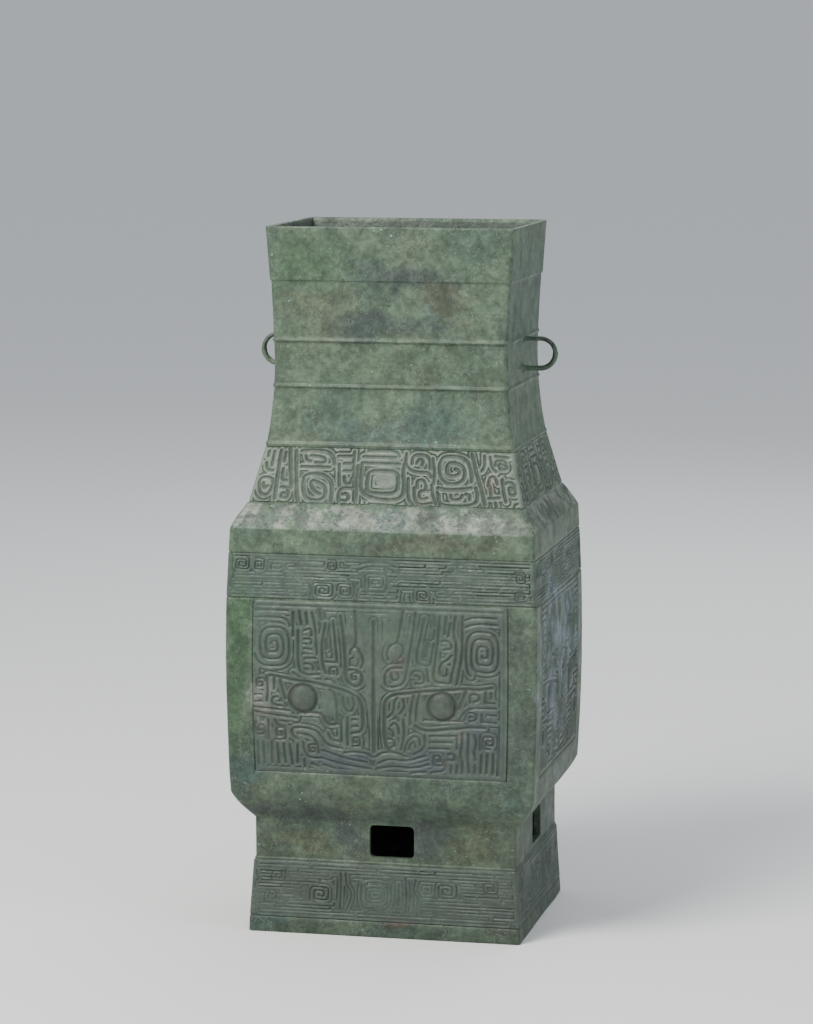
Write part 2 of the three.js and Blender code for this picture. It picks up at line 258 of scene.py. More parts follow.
# %% Columns of a grid that is wrapped round the body
SIDES = range(4)
ALONG = np.array([(1, 0), (0, 1), (-1, 0), (0, -1)], float)
OUTWARD = np.array([(0, -1), (1, 0), (0, 1), (-1, 0)], float)
LEAST_RADIUS = 0.6 * MM


def face_columns(side, shares):
    """Columns on one flat face, at shares of its half width from -1 to 1."""
    shares = np.asarray(shares, float)
    base = shares[:, None] * ALONG[side] + OUTWARD[side]
    return {
        "base": base,
        "normal": np.repeat(OUTWARD[side][None], len(shares), 0),
        "side": np.full(len(shares), side),
        "share": shares,
        "bend": np.zeros(len(shares)),
    }


def corner_columns(side, count):
    """Columns round the corner that follows a face, without the two that belong to the faces."""
    angles = np.linspace(0, math.pi / 2, count + 2)[1:-1]
    normal = np.cos(angles)[:, None] * OUTWARD[side] + np.sin(angles)[:, None] * ALONG[side]
    return {
        "base": np.repeat((ALONG[side] + OUTWARD[side])[None], count, 0),
        "normal": normal,
        "side": np.full(count, side),
        "share": np.ones(count),
        "bend": np.sin(angles),
    }


def joined(blocks):
    return {key: np.concatenate([block[key] for block in blocks]) for key in blocks[0]}


def ring_columns(front_shares, side_shares, corner_count):
    """All columns round the body, ending where they began."""
    blocks = []
    for side in SIDES:
        blocks.append(face_columns(side, front_shares if side % 2 == 0 else side_shares))
        blocks.append(corner_columns(side, corner_count))
    blocks.append(face_columns(0, front_shares[:1]))
    return joined(blocks)


def wrapped(columns, outline_heights, heights, push, corner=CORNER):
    """Places of a grid wrapped round the body, by row and column."""
    halves = soft_outline(outline_heights) - corner
    radius = corner + push
    tuck = np.minimum(radius - LEAST_RADIUS, 0)
    flat = columns["base"][None] * (halves[:, None, :] + tuck[..., None])
    across = flat + columns["normal"][None] * (radius - tuck)[..., None]
    return np.concatenate([across, np.broadcast_to(heights[:, None, None], (*across.shape[:2], 1))], 2)


# %% [markdown]
# The grid operator counts its points row by row. The helper reads the flat grid back by position
# rather than trusting that order, then moves each point to its place. A share of the way along and
# up the grid is kept as the texture map, so a baked picture has room for every part.

# %% A grid whose points are moved
def moved_grid(name, places, mask=None, with_map=True):
    """A mesh grid with one point for each place, and a share kept beside each point: the carving depth on
    the bands, painted shade inside the skin.
    """
    row_count, column_count = places.shape[:2]
    shape = bmesh.new()
    bmesh.ops.create_grid(shape, x_segments=column_count - 1, y_segments=row_count - 1, size=1)
    mesh = bpy.data.meshes.new(name)
    shape.to_mesh(mesh)
    shape.free()
    flat = np.empty(len(mesh.vertices) * 3, np.float32)
    mesh.vertices.foreach_get("co", flat)
    flat = flat.reshape(-1, 3)
    share = (flat[:, :2] + 1) / 2
    column = np.rint(share[:, 0] * (column_count - 1)).astype(int)
    row = np.rint(share[:, 1] * (row_count - 1)).astype(int)
    mesh.vertices.foreach_set("co", places[row, column].astype(np.float32).ravel())
    if mask is not None:
        kept = mesh.attributes.new("carved_and_shaded", "FLOAT", "POINT")
        kept.data.foreach_set("value", mask[row, column].astype(np.float32))
    if with_map:
        corners = np.empty(len(mesh.loops), np.int32)
        mesh.loops.foreach_get("vertex_index", corners)
        layer = mesh.uv_layers.new(name="OFBake")
        layer.data.foreach_set("uv", share[corners].astype(np.float32).ravel())
    return mesh


MERGE_DISTANCE = 0.00001


def closed(mesh):
    """The mesh with its doubled points merged, so that rings and backs close up."""
    shape = bmesh.new()
    shape.from_mesh(mesh)
    bmesh.ops.remove_doubles(shape, verts=shape.verts, dist=MERGE_DISTANCE)
    shape.to_mesh(mesh)
    shape.free()
    return mesh


def place_piece(name, mesh, finish, sharp_angle=40):
    """Puts a finished mesh in the scene as a piece that stands for the solid vessel."""
    mesh.shade_smooth()
    mesh.set_sharp_from_angle(angle=math.radians(sharp_angle))
    mesh.materials.clear()
    mesh.materials.append(finish)
    piece = bpy.data.objects.new(name, mesh)
    bpy.context.scene.collection.objects.link(piece)
    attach(piece, "root")
    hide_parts("vessel")
    mesh.calc_loop_triangles()
    print(f"{name}: {len(mesh.loop_triangles)} triangles")
    return piece


# %% [markdown]
# ## Strokes of the ornament
#
# The founders pressed the ornament into the clay mould as narrow grooves between flat bands, mostly
# square spirals. Each groove is kept as a path on a grid of its own, drawn once and stretched over
# every side. A spiral is worked out by a formula, so one line of code can place another. Where the
# main grooves leave room, finer ones follow them.

# %% Paths of grooves
def path(*points, width=1.5, depth=1.0):
    """A groove through points of the grid, in straight stretches."""
    return {"points": np.array(points, float), "width": width, "depth": depth}


def coil(along, up, half_along, half_up, turns, start=0.0, width=1.5, depth=1.0, core=0.14, square=0.55):
    """A squarish spiral groove from its core out; negative turns run the other way."""
    angle = np.linspace(0, 2 * math.pi * abs(turns), int(abs(turns) * 20) + 1)
    grow = core + (1 - core) * angle / angle[-1]
    turn = math.radians(start) + np.sign(turns) * angle
    shape_x = np.sign(np.cos(turn)) * np.abs(np.cos(turn)) ** square
    shape_y = np.sign(np.sin(turn)) * np.abs(np.sin(turn)) ** square
    points = np.stack([along + half_along * grow * shape_x, up + half_up * grow * shape_y], 1)
    return {"points": points, "width": width, "depth": depth}


def curve(*points, width=1.5, depth=1.0):
    """A groove through points of the grid, with its corners rounded by cutting them twice."""
    line = np.array(points, float)
    for _ in range(2):
        cut = np.empty((2 * len(line) - 2, 2))
        cut[0::2] = line[:-1] * 0.75 + line[1:] * 0.25
        cut[1::2] = line[:-1] * 0.25 + line[1:] * 0.75
        line = np.concatenate([line[:1], cut, line[-1:]])
    return {"points": line, "width": width, "depth": depth}


def mirrored(grooves):
    return [{**groove, "points": groove["points"] * (-1, 1)} for groove in grooves]


# Shares of a groove's width: from its middle to its edge, and the slope down to its bottom.
GROOVE_EDGE = 0.66
GROOVE_SLOPE = 0.5
# The finer lines start at this share of their pitch from a main groove and end this far from it.
FOLLOWED_FROM = 0.72
FOLLOWED_TO = 8.2
FOLLOWED_REACH = 8.0
OUT_OF_REACH = 9.0


def groove_depths(along, up, grooves, spread=1.0, pitch=2.7, filled=0.0, quiet=()):
    """How deep the grooves cut at each point of a grid, from 0 to about 1.

    Where the grooves leave room, finer lines follow them at one pitch, as on the old mould, but not
    in the quiet ovals.
    """
    deep = np.zeros(along.shape)
    near = np.full(along.shape, OUT_OF_REACH)
    row_up = up[:, 0]
    for groove in grooves:
        width = groove["width"] * spread
        reach = FOLLOWED_REACH if filled else width * GROOVE_EDGE
        for start, end in zip(groove["points"], groove["points"][1:]):
            first = np.searchsorted(row_up, min(start[1], end[1]) - reach)
            last = np.searchsorted(row_up, max(start[1], end[1]) + reach)
            if first >= last:
                continue
            columns = along[(first + last - 1) // 2]
            left = np.searchsorted(columns, min(start[0], end[0]) - reach - 1.5)
            right = np.searchsorted(columns, max(start[0], end[0]) + reach + 1.5)
            if left >= right:
                continue
            part = np.s_[first:last, left:right]
            step = end - start
            length = max(step @ step, 1e-9)
            from_start = np.stack([along[part] - start[0], up[part] - start[1]], -1)
            share = np.clip(from_start @ step / length, 0, 1)
            gap = np.linalg.norm(from_start - share[..., None] * step, axis=-1)
            near[part] = np.minimum(near[part], gap)
            sunk = np.clip((width * GROOVE_EDGE - gap) / (width * GROOVE_SLOPE), 0, 1)
            cut = groove["depth"] * sunk
            deep[part] = np.maximum(deep[part], cut)
    if filled:
        echo = np.clip(1.5 * np.cos(2 * math.pi * near / pitch) - 0.3, 0, 1)
        echo *= filled * ((near > FOLLOWED_FROM * pitch) & (near < FOLLOWED_TO))
        for middle_along, middle_up, half_along, half_up in quiet:
            off = np.hypot((along - middle_along) / half_along, (up - middle_up) / half_up)
            echo *= np.clip((off - 0.8) / 0.3, 0, 1)
        deep = np.maximum(deep, echo)
    return deep


# %% [markdown]
# ## The mask
#
# Each face of the belly carries a taotie, an animal mask with round eyes, coiled horns and a long
# nose. It is drawn on a grid 76.5 to each side of its middle and 103 high. Half a mask, mirrored,
# serves three of the faces. The front's left half was cut by hand a little differently, and the whole
# front mask sits left of its panel's middle, so that half has strokes of its own.

# %% The mask's grooves
MASK = {"base": 99.5 * MM, "top": 202.0 * MM, "width": 76.5, "height": 103.0, "margin": 16.8 * MM}
FRONT_SHIFT = -3.5
EYE_RADIUS = 7.4
EYE_RELIEF = 1.9 * MM
BOLD = {"width": 1.9, "depth": 1.15}


def mask_frame():
    return [
        path((-73.6, 100.2), (73.6, 100.2), width=1.5, depth=0.7),
        path((-74.6, 99), (-74.6, 2.0), width=1.3, depth=0.35),
        path((74.2, 99), (74.2, 2.0), width=1.3, depth=0.35),
        path((-73, 0.8), (73, 0.8), width=1.3, depth=0.5),
    ]


def nose():
    return [path((0, 92.5), (0, 14.5), **BOLD)]


def forehead():
    """The plain wedges beside the nose and the keyhole curls below them."""
    return [
        curve((17.8, 99.5), (16.2, 89), (14.2, 80.4)),
        curve((14.2, 80.2), (9.6, 78.8), (7.8, 73.8), (9.0, 70.2)),
        curve((14.2, 80.2), (17.6, 78.6), (18.0, 74.6), (15.6, 71.4)),
        curve((25.2, 98.4), (23.8, 86.4), (21.4, 73), (19.8, 61.8), (17.6, 55.4), (10.4, 53.4),
              (6.8, 55.2),
              (6.8, 62), (10.4, 65.2), (16.8, 65.4)),
        curve((10.6, 62.2), (11.0, 58.6), (13.6, 57.6), (15.4, 60.0), (14.6, 62.6)),
        curve((30.6, 95.2), (29.2, 89.8), (27.8, 81.8), (26.2, 76), (25.8, 70.4), (27.8, 67.8),
              (33.0, 67.4)),
        path((32.6, 80.0), (31.0, 77.6), (30.8, 73.0), width=3.0, depth=0.9),
        curve((22.8, 61.4), (23.8, 64.2), (29.6, 63.8), (30.6, 60.6), (30.2, 56.8), (25.0, 56.4)),
        curve((25.2, 61.2), (27.4, 60.8), (27.4, 59.0)),
        path((32.0, 65), (32.8, 58.0)),
    ]


def feathers():
    """The upright plumes between the forehead and the horn, with their small hooks."""
    return [
        path((36.4, 96.8), (36.9, 91.8), width=3.0, depth=0.8),
        path((36.2, 80.4), (34.8, 73.6), (33.9, 68)),
        curve((39.6, 97), (39.2, 88), (37.9, 78), (36.6, 68), (35.2, 57.8), (45.0, 57.2)),
        path((43.6, 97), (42.4, 86.4)),
        path((46.2, 93), (44.6, 85.0)),
        path((49.0, 97), (47.8, 88.2), (48.6, 83.2)),
        curve((41, 82.4), (46.2, 82.2), (46.8, 77.6), (42, 77.4)),
        curve((46.8, 74.2), (43.8, 70.8), (40.6, 69.4), (39.2, 65.6), (40.0, 61.4), (43.8, 61.4),
              (44.0, 65.8)),
        curve((49.2, 83), (49.6, 74.4), (46.9, 63.6), (45.9, 57.6)),
        curve((53.2, 97), (53.0, 74), (51.0, 65), (49.6, 56.8)),
    ]


def horn():
    return [
        coil(65.6, 75.4, 10.9, 14.8, 3.1, 200, core=0.1, square=0.62),
        curve((55.2, 91.0), (61, 93.2), (74.0, 92.8)),
        curve((54.4, 95.0), (60, 97.0), (73.2, 96.6)),
    ]


def brow():
    """The long line over the eye and down beside the nose."""
    line = ((70.5, 55.4), (61.5, 53.8), (54.8, 54.4), (48.2, 53.6), (36.2, 52.4), (28.8, 51.8),
            (21.5, 50.4),
            (12.8, 49.4), (8.0, 47), (6.5, 43), (6.5, 19.8), (9.8, 15.6))
    return [
        curve(*line, **BOLD),
        curve((14.2, 47.6), (12.2, 45), (12.2, 39), (8.4, 35.6)),
        curve((17.8, 47), (18.7, 41.8), (15.6, 38.0)),
        curve((24.2, 49.6), (22.2, 41), (21.8, 31.8)),
        curve((10.4, 30.8), (12.4, 32.6), (15.0, 30.4), (15.2, 26.2)),
        curve((9.4, 28.8), (11.8, 27.2), (11.8, 24.4)),
        curve((17.8, 34.8), (18.6, 26.4), (16.6, 16.8)),
        curve((8.8, 22.8), (12.2, 22.4), (13.2, 19), (10.6, 17.8)),
    ]


def eye_field():
    return [
        curve((27.4, 50.2), (25.6, 42), (25.4, 34.4)),
        path((30.2, 35.0), (52.6, 35.0)),
        curve((25.0, 31.2), (30, 28.2), (38.8, 29.0), (44.8, 29.9), (52.2, 30.5), (56.8, 31.7),
              (66.5, 31.6), **BOLD),
        curve((55.5, 53.8), (52.8, 47), (50.8, 42.4), width=2.0),
        curve((57.8, 46.4), (57.4, 51.4), (62.8, 51.4), (63.2, 48.2), (60.2, 47.0)),
        curve((73, 43.4), (67, 43.2), (59.5, 43.2), (55.5, 41.8), (52.8, 38.6), (51.4, 36.4)),
        curve((54.6, 36.4), (55.4, 40.2), (60.4, 40.4), (61.6, 38.4), (60.8, 35.8), (57.4, 35.2)),
        path((57.6, 38.0), (58.6, 38.0), width=1.9),
        path((64.6, 39.6), (64.6, 35.2), (73, 34.8)),
        path((67.6, 39.4), (72.8, 39.2)),
        path((66.8, 53.0), (66.6, 46.6), (72.4, 46.4)),
        path((70.0, 52.6), (70.2, 49.6)),
    ]


def cheek():
    """The lines, hooks and upright strokes under the eye."""
    return [
        curve((18.4, 15.4), (20.2, 21.8), (24.2, 25.2), (27.6, 24.2), (28.0, 20.2)),
        curve((21.2, 17), (22.4, 21), (24.8, 21.6), (25.4, 18.4)),
        curve((30.6, 25.6), (31.2, 20.2), (28.6, 16.4), (24.4, 14.4)),
        path((34.0, 25.4), (50.0, 26.2), (50.0, 18.6)),
        path((34.2, 21.8), (46.8, 22.2)),
        path((33.4, 18.0), (45.6, 18.2)),
        curve((53.0, 27.6), (53.2, 21), (52.0, 15.4), (53.8, 9.8), (53.2, 4)),
        curve((56.6, 27.4), (56.9, 22.4), (56.4, 15.6), (57.6, 4.4)),
        curve((60.4, 27.2), (62.0, 22.4), (60.2, 17.0), (61.2, 12.4)),
        coil(69.0, 23.2, 4.2, 4.2, 1.7, 20),
        path((64.0, 27.4), (64.0, 18.6)),
        path((71.8, 16.4), (71.6, 4)),
        path((68.4, 16.2), (67.8, 4.6)),
        path((64.8, 15.4), (64.4, 4.6)),
        path((61.0, 9.0), (60.8, 4.4)),
        curve((45.0, 14.8), (47.8, 15.6), (49.4, 13.6), (48.2, 11.2), (44.6, 11.6)),
        path((50.4, 8.6), (50.0, 4.0)),
        path((47.0, 8.2), (46.4, 4.0)),
        coil(38.6, 11.4, 3.8, 4.0, 1.5, 180),
        curve((43.2, 8.6), (42.6, 4.8), (34.8, 3.6)),
    ]


def mouth():
    return [
        curve((1.0, 11.6), (4.8, 14.2), (12.4, 15.0), (20.0, 12.4)),
        curve((2.4, 7.6), (9, 10.8), (20, 9.6), (31.6, 13.6)),
        curve((1.6, 4.4), (12, 6.4), (24, 5.4), (33.2, 8.4)),
        path((22.6, 2.8), (31.2, 3.8)),
    ]


def hand_cut_forehead():
    return [
        curve((11.2, 98.4), (10.0, 80.4), (11.8, 76.4)),
        curve((14.2, 72.4), (13.6, 75.8), (10.2, 77.0), (7.0, 73), (5.8, 69), (7.4, 64.8)),
        curve((19.8, 95), (17.8, 83), (16.8, 70.4), (16.8, 59), (15.2, 55.8), (11.2, 53),
              (7.8, 54.4), (6.3, 58.4),
              (7.8, 61.8), (12.5, 63.4), (16.4, 62.6), **BOLD),
        coil(11.4, 58.9, 2.3, 2.6, 1.2, 60),
        curve((24.2, 91.8), (22.8, 78.4), (21.8, 68.6)),
        path((28.6, 80.8), (28.2, 75.4), width=3.0, depth=0.9),
        curve((28.9, 90.4), (31.2, 78.4), (30.5, 65), (28.2, 60.4)),
        coil(24.4, 61.6, 3.0, 3.2, 1.3, 90),
        path((22, 67.2), (29.2, 67.4)),
        curve((22.8, 55.0), (25.4, 57.0), (28.8, 57.0)),
    ]


def hand_cut_feathers():
    return [
        path((32.6, 98), (31.6, 93.2), width=3.0, depth=0.8),
        curve((37.2, 96.6), (35.0, 88), (34.4, 78), (34.0, 71.4)),
        path((40.8, 96.4), (39.8, 89.4)),
        curve((44.8, 97), (43.4, 89)),
        curve((41.8, 85.6), (37.4, 87.2), (37.4, 82.6)),
        path((41.8, 80.6), (37.4, 80.4), (37.6, 77.8)),
        path((41.8, 75), (37.2, 74.4)),
        path((41.2, 69.0), (34.6, 69.4)),
        curve((41.4, 65.8), (36.6, 65.4), (36.2, 62.6)),
        curve((45.4, 86), (45.4, 62.6), (41.6, 59), (32.6, 59.8)),
        path((48.6, 96.4), (48.4, 82)),
        path((48.4, 60.4), (44.4, 57.6)),
    ]


def hand_cut_horn():
    return [
        coil(60.4, 76.4, 11.4, 13.6, 2.9, 20, core=0.1, square=0.68),
        curve((73.4, 92.6), (60.5, 93.2), (52.4, 92.2), (50.0, 88.0)),
        curve((73, 97), (60, 97.4), (52, 97.0)),
    ]


def hand_cut_brow():
    return [
        curve((62.4, 58.0), (51.2, 56.4), (46.5, 55.4), (37.2, 54.8), (27.2, 52.8), (19.2, 51),
              (11.8, 48.4), (7.8, 45),
              (6.4, 41), (6.2, 26.4), (13.2, 25.2), **BOLD),
        curve((18.4, 46.8), (17.6, 41), (15.4, 38.2), (12.6, 38.6), (11.5, 43), (12.4, 47)),
        path((20.6, 36.4), (18.2, 34.2)),
        curve((15.6, 34.8), (16.0, 27), (15.8, 18.2)),
        path((9.6, 33.6), (12.8, 33.4)),
        path((9.6, 29.6), (12.8, 29.4)),
        coil(10.9, 20.6, 3.0, 3.2, 1.3, 180),
        curve((19.6, 33), (19.4, 26), (19.4, 19.8)),
    ]


def hand_cut_eye_field():
    return [
        curve((45.2, 36.4), (34.5, 36.8), (29.8, 35.2), (28.7, 31), (25.2, 29.4), (21.4, 30.6), **BOLD),
        curve((26.2, 50.8), (22.4, 48.4), (21.8, 31.8)),
        curve((56.2, 55.6), (54.6, 49), (53.0, 44.6), width=2.0),
        path((59.8, 56.6), (60.2, 49.8)),
        curve((58.2, 45.4), (61.5, 44.6), (61.4, 40.6), (55.4, 39.8)),
        coil(68.4, 53.2, 3.2, 3.2, 1.4, 20),
        curve((64.4, 57.6), (63.8, 50), (64.6, 42.6)),
        path((67.8, 46.4), (72.6, 46.2)),
        path((67.6, 42.4), (72.6, 42.0)),
        path((72.4, 36.0), (61.2, 34.4), (46.8, 33.0)),
        path((72.4, 38.8), (62, 38), (51, 37.2)),
    ]


def hand_cut_cheek():
    return [
        curve((46.2, 20.4), (49.5, 22.4), (49.8, 27), (42.5, 27.4), (34.5, 25.8), (31.2, 21.8),
              (27.8, 17), (19.2, 15.8)),
        curve((45.8, 23.8), (37.2, 22.6), (34, 17.6)),
        curve((27.6, 24.8), (25.4, 20.6), (21.4, 20.0)),
        coil(56.8, 23.8, 4.2, 4.4, 1.6, 90),
        curve((59.8, 31.4), (58.5, 28.2), (53.6, 27.6)),
        coil(68.6, 25.8, 3.8, 4.4, 1.6, 200),
        path((64.0, 31.0), (63.8, 20.0)),
        coil(37.2, 14.6, 3.6, 3.4, 1.4, 60),
        curve((43.0, 18.6), (42.2, 12.6), (39.2, 9.2), (34.2, 9.2)),
        path((70.8, 18), (70.6, 4.4)),
        path((67.2, 17.8), (67.0, 5)),
        path((62.0, 17.8), (62.2, 5.4)),
        path((58.6, 17), (58.2, 5.4)),
        path((54.8, 17), (54.0, 6.0)),
        path((51.2, 17), (49.8, 5)),
        path((46.4, 17.0), (46.6, 6)),
        path((42.4, 8.2), (42.2, 4)),
        path((38.0, 6.0), (34, 4.2)),
    ]


def hand_cut_mouth():
    return [
        curve((0.8, 11.4), (4.5, 13.4), (11.2, 14), (18, 13.2)),
        curve((31.4, 14.2), (21.2, 11), (14.5, 9.2), (4.5, 8.0)),
        curve((32.6, 9.6), (20, 6.2), (8, 4.8), (2, 4.2)),
        path((30.8, 5.4), (24, 3.4)),
    ]


def moved(grooves, shift):
    """The same grooves further along a face."""
    return [{**groove, "points": groove["points"] + (shift, 0)} for groove in grooves]


half_mask = forehead() + feathers() + horn() + brow() + eye_field() + cheek() + mouth()
hand_cut_half = (
    hand_cut_forehead() + hand_cut_feathers() + hand_cut_horn() + hand_cut_brow()
    + hand_cut_eye_field() + hand_cut_cheek() + hand_cut_mouth()
)
front_mask = mask_frame() + moved(nose() + half_mask + mirrored(hand_cut_half), FRONT_SHIFT)
front_eyes = [(FRONT_SHIFT - 42.4, 45.0), (FRONT_SHIFT + 40.9, 43.2)]
plain_mask = mask_frame() + nose() + half_mask + mirrored(half_mask)
plain_eyes = [(-40.9, 43.2), (40.9, 43.2)]
print(f"The front mask has {len(front_mask)} grooves.")

# %% [markdown]
# ## The friezes
#
# The shoulder carries a crisp frieze: a plain rounded boss in the middle, large coils to each side and
# small ones between upright bands. The belly's top frieze and the foot's are finer and badly worn, so
# little is left of them but level lines, a few coils and a plain boss.

# %% The shoulder frieze's grooves
SHOULDER = {"base": 258.5 * MM, "top": 290.4 * MM, "width": 74.0, "height": 32.0}


def shoulder_middle():
    return [
        coil(-1.9, 12.9, 8.9, 6.5, 1.0, 0, core=1.0, square=0.5, width=1.9),
        curve((-15.0, 22.4), (-14.6, 9.6), (-11.4, 5.4), (-6, 3.4), (5.6, 2.7), (10.2, 5.2),
              (10.6, 12.0), (9.6, 19),
              (10.4, 23.6), width=1.9),
        path((-15.0, 23.6), (7.6, 23.4)),
        path((-14.6, 27.2), (5.0, 27.2)),
        curve((-12, 30.6), (5.6, 31.0), (7.2, 27.6), width=1.3),
        curve((11.4, 29.6), (10.9, 24), (12.6, 21.4), (15.4, 19.6), (19.5, 19.0), (24.6, 19.2),
              (26.2, 16.4)),
        curve((12.8, 15.4), (12.6, 9), (13.4, 3.2), (15.8, 0.6)),
        path((-8.6, 0.2), (4.6, 0.0), width=1.3),
    ]


def shoulder_left():
    return [
        curve((-36.0, 10.4), (-40, 12.3), (-43.6, 12.8), (-42.2, 9.0), (-39.6, 6.4), (-36.4, 5.2)),
        curve((-36.0, 10.4), (-34.0, 8.0), (-33.6, 3.8), (-36.8, 1.2), (-43.6, 2.0), (-46.2, 6),
              (-47.8, 12), (-47.4, 16.4),
              (-38, 16.7), (-32.6, 14), (-30.4, 9.5), (-30.0, 1.2), width=1.9),
        curve((-52.4, 29.6), (-45, 30.2), (-36.4, 29.6), (-32.6, 26.4), (-31.4, 22.4), width=1.9),
        curve((-50.8, 20.6), (-40, 20.6), (-33.8, 20.6)),
        curve((-49.6, 27.0), (-48.2, 24.2), (-45.8, 23.8)),
        curve((-46.4, 27.0), (-40.4, 26.6), (-37.0, 25.2), (-37.2, 22.9), (-43.0, 23.2)),
        path((-60.2, 31), (-54.9, 12.4), (-54.0, 8.6), width=1.9),
        path((-56.2, 29.6), (-53.5, 19), (-51, 9), (-49.6, 4), (-48.2, 0.8), width=1.9),
        curve((-28.6, 22.6), (-27.5, 15), (-26.4, 10.2)),
        path((-25.6, 23.0), (-20.4, 23.0)),
        path((-25.2, 18.8), (-20.8, 18.8)),
        curve((-24.4, 15.4), (-23.4, 11.6), (-20.4, 11.4), (-19.8, 14.8)),
        path((-29.8, 27.0), (-21.6, 27.2)),
        path((-20.4, 30), (-20.0, 22.4), (-18.6, 12.4), (-18.0, 8.8)),
        path((-17.2, 22), (-16.8, 12), (-16.2, 1.4), width=1.7),
        curve((-18.2, 9.0), (-25.4, 9.0), (-26.4, 4.8), (-25.2, -0.2), width=1.7),
        curve((-24.0, 5.4), (-21.8, 6.0), (-20.0, 4.0), (-21.2, 1.5), (-24.0, 1.7)),
        path((-17.8, 8.0), (-17.2, 2.0)),
        curve((-64.8, 10.2), (-66, 13.6), (-71.6, 14.2), (-73.4, 12), (-72, 7.2), (-69.6, 3.9),
              (-65.8, 3.9), (-64.8, 10.2)),
        curve((-70.6, 10.8), (-69.2, 7.4), (-67.4, 9.2)),
        path((-65.4, 29.6), (-64.4, 21), (-63.4, 14), (-61.6, 1.6), width=1.7),
        curve((-61.2, 19.2), (-60.4, 12.6), (-57.2, 12.6)),
        path((-59.6, 8.6), (-55.2, 8.4)),
        coil(-57.0, 4.4, 2.6, 2.6, 1.2, 0),
        path((-69.4, 29), (-68.6, 20.8)),
        curve((-72.2, 22.4), (-70.8, 18.4), (-67.2, 18.0)),
        path((-72.6, 29), (-72.4, 26)),
        path((-62.2, 28.6), (-61.8, 23.2)),
    ]


def shoulder_right():
    return [
        curve((40.4, 21.4), (42.8, 21), (42.4, 18.2), (39.5, 17.3), (35.8, 17.6), (35.2, 22),
              (37, 24.8), (41, 25.0),
              (45.4, 23), (46.0, 18.6), (44.2, 14.4), (39.8, 12.8), (35, 13), (31.8, 16),
              (30.8, 21), (31.8, 26),
              (35, 28.6), (43, 28.6), (48.4, 26.4), (49.8, 20), (49.4, 14.6), width=1.7),
        curve((30.0, 10.4), (35.5, 9.4), (43, 9.8), (48.4, 10.8), width=1.9),
        curve((30.2, 6.8), (30.0, 2.6), (33, 0.4), (43, 0.4), (50.4, 1.6), (52.2, 6.4),
              (51.4, 11.0), width=1.7),
        curve((37.0, 6.6), (37.4, 4.0), (42, 4.0), (43.4, 6.6)),
        path((45.6, 7.4), (47.6, 7.0), (47.4, 4.4)),
        curve((17.6, 24.2), (19.2, 26.8), (21.8, 25.8), (20.8, 23.2)),
        curve((14.8, 23.8), (15.2, 28.4), (20, 29.2), (25.4, 28.2), (25.6, 21.4)),
        curve((18.0, 10.2), (18.0, 14.4), (21.4, 15.0), (23.0, 12.6), (23.0, 9.4)),
        curve((16.4, 10.2), (16.4, 4), (19.2, 0.4), (26, 1.6)),
        curve((24.6, 8.6), (19.4, 8.6), (19.2, 4.6), (21.4, 3.4), (23.6, 4.6)),
        path((27.4, 27), (28.2, 19), (27.4, 12.8)),
        path((26.4, 12.2), (26.6, 7.6), (28.6, 1.0)),
        path((29.4, 8.2), (31.0, 0.8), width=1.3),
        path((51.2, 30), (52.6, 20), (54.6, 10), (55.6, 1.8), width=1.9),
        curve((58.6, 29.4), (58.2, 23.6), (56.0, 20.6)),
        curve((62.0, 28.8), (62.2, 22.6), (64.4, 20.6)),
        curve((58.6, 12.4), (60.2, 17.4), (63.2, 17.8), (64.0, 13.6)),
        path((59.6, 12.4), (59.6, 7.4)),
        path((58.2, 5.4), (64.2, 5.8)),
        coil(68.2, 23.8, 3.6, 3.4, 1.5, 0),
        path((65.0, 29.2), (73, 28.6)),
        curve((67.4, 16.4), (66.8, 9.6), (67.4, 3.6)),
        coil(71.6, 10.4, 2.6, 4.6, 1.4, 0),
        path((61.6, 3.0), (61.8, 0.8)),
    ]


shoulder_grooves = shoulder_middle() + shoulder_left() + shoulder_right()
shoulder_plain_grooves = shoulder_middle() + shoulder_left() + mirrored(shoulder_left())

# %% The worn friezes' grooves
BELLY = {"base": 203.2 * MM, "top": 229.5 * MM, "width": 88.0, "height": 26.3}
FOOT = {"base": 9.5 * MM, "top": 43.4 * MM, "width": 76.0, "height": 33.9}


def level_lines(zone, pitch, seed, gaps, width=0.95):
    """Worn level lines with breaks and short links, kept clear of the gaps round the motifs."""
    chance = np.random.default_rng(seed)
    lines = []
    for up in np.arange(pitch, zone["height"] - pitch / 2, pitch):
        along = -zone["width"] + 1 + chance.random() * 3
        while along < zone["width"] - 3:
            end = min(along + 4 + chance.random() ** 2 * 34, zone["width"] - 1)
            clear = all(
                end < left or along > right or not low_edge < up < high_edge
                for left, right, low_edge, high_edge in gaps
            )
            if clear:
                depth = 0.3 + 0.7 * chance.random()
                sag = 0.25 * (chance.random() - 0.5)
                lines.append(path((along, up), (end, up + sag), width=width, depth=depth))
                if chance.random() < 0.45 and up + pitch < zone["height"] - pitch:
                    lines.append(path((end, up), (end, up + pitch), width=width, depth=depth))
            along = end + 1.2 + chance.random() * 1.6
    return lines


def square_coil(along, up, half_along, half_up, turns, start=0.0):
    return coil(along, up, half_along, half_up, turns, start, width=1.05, depth=0.9, square=0.42)


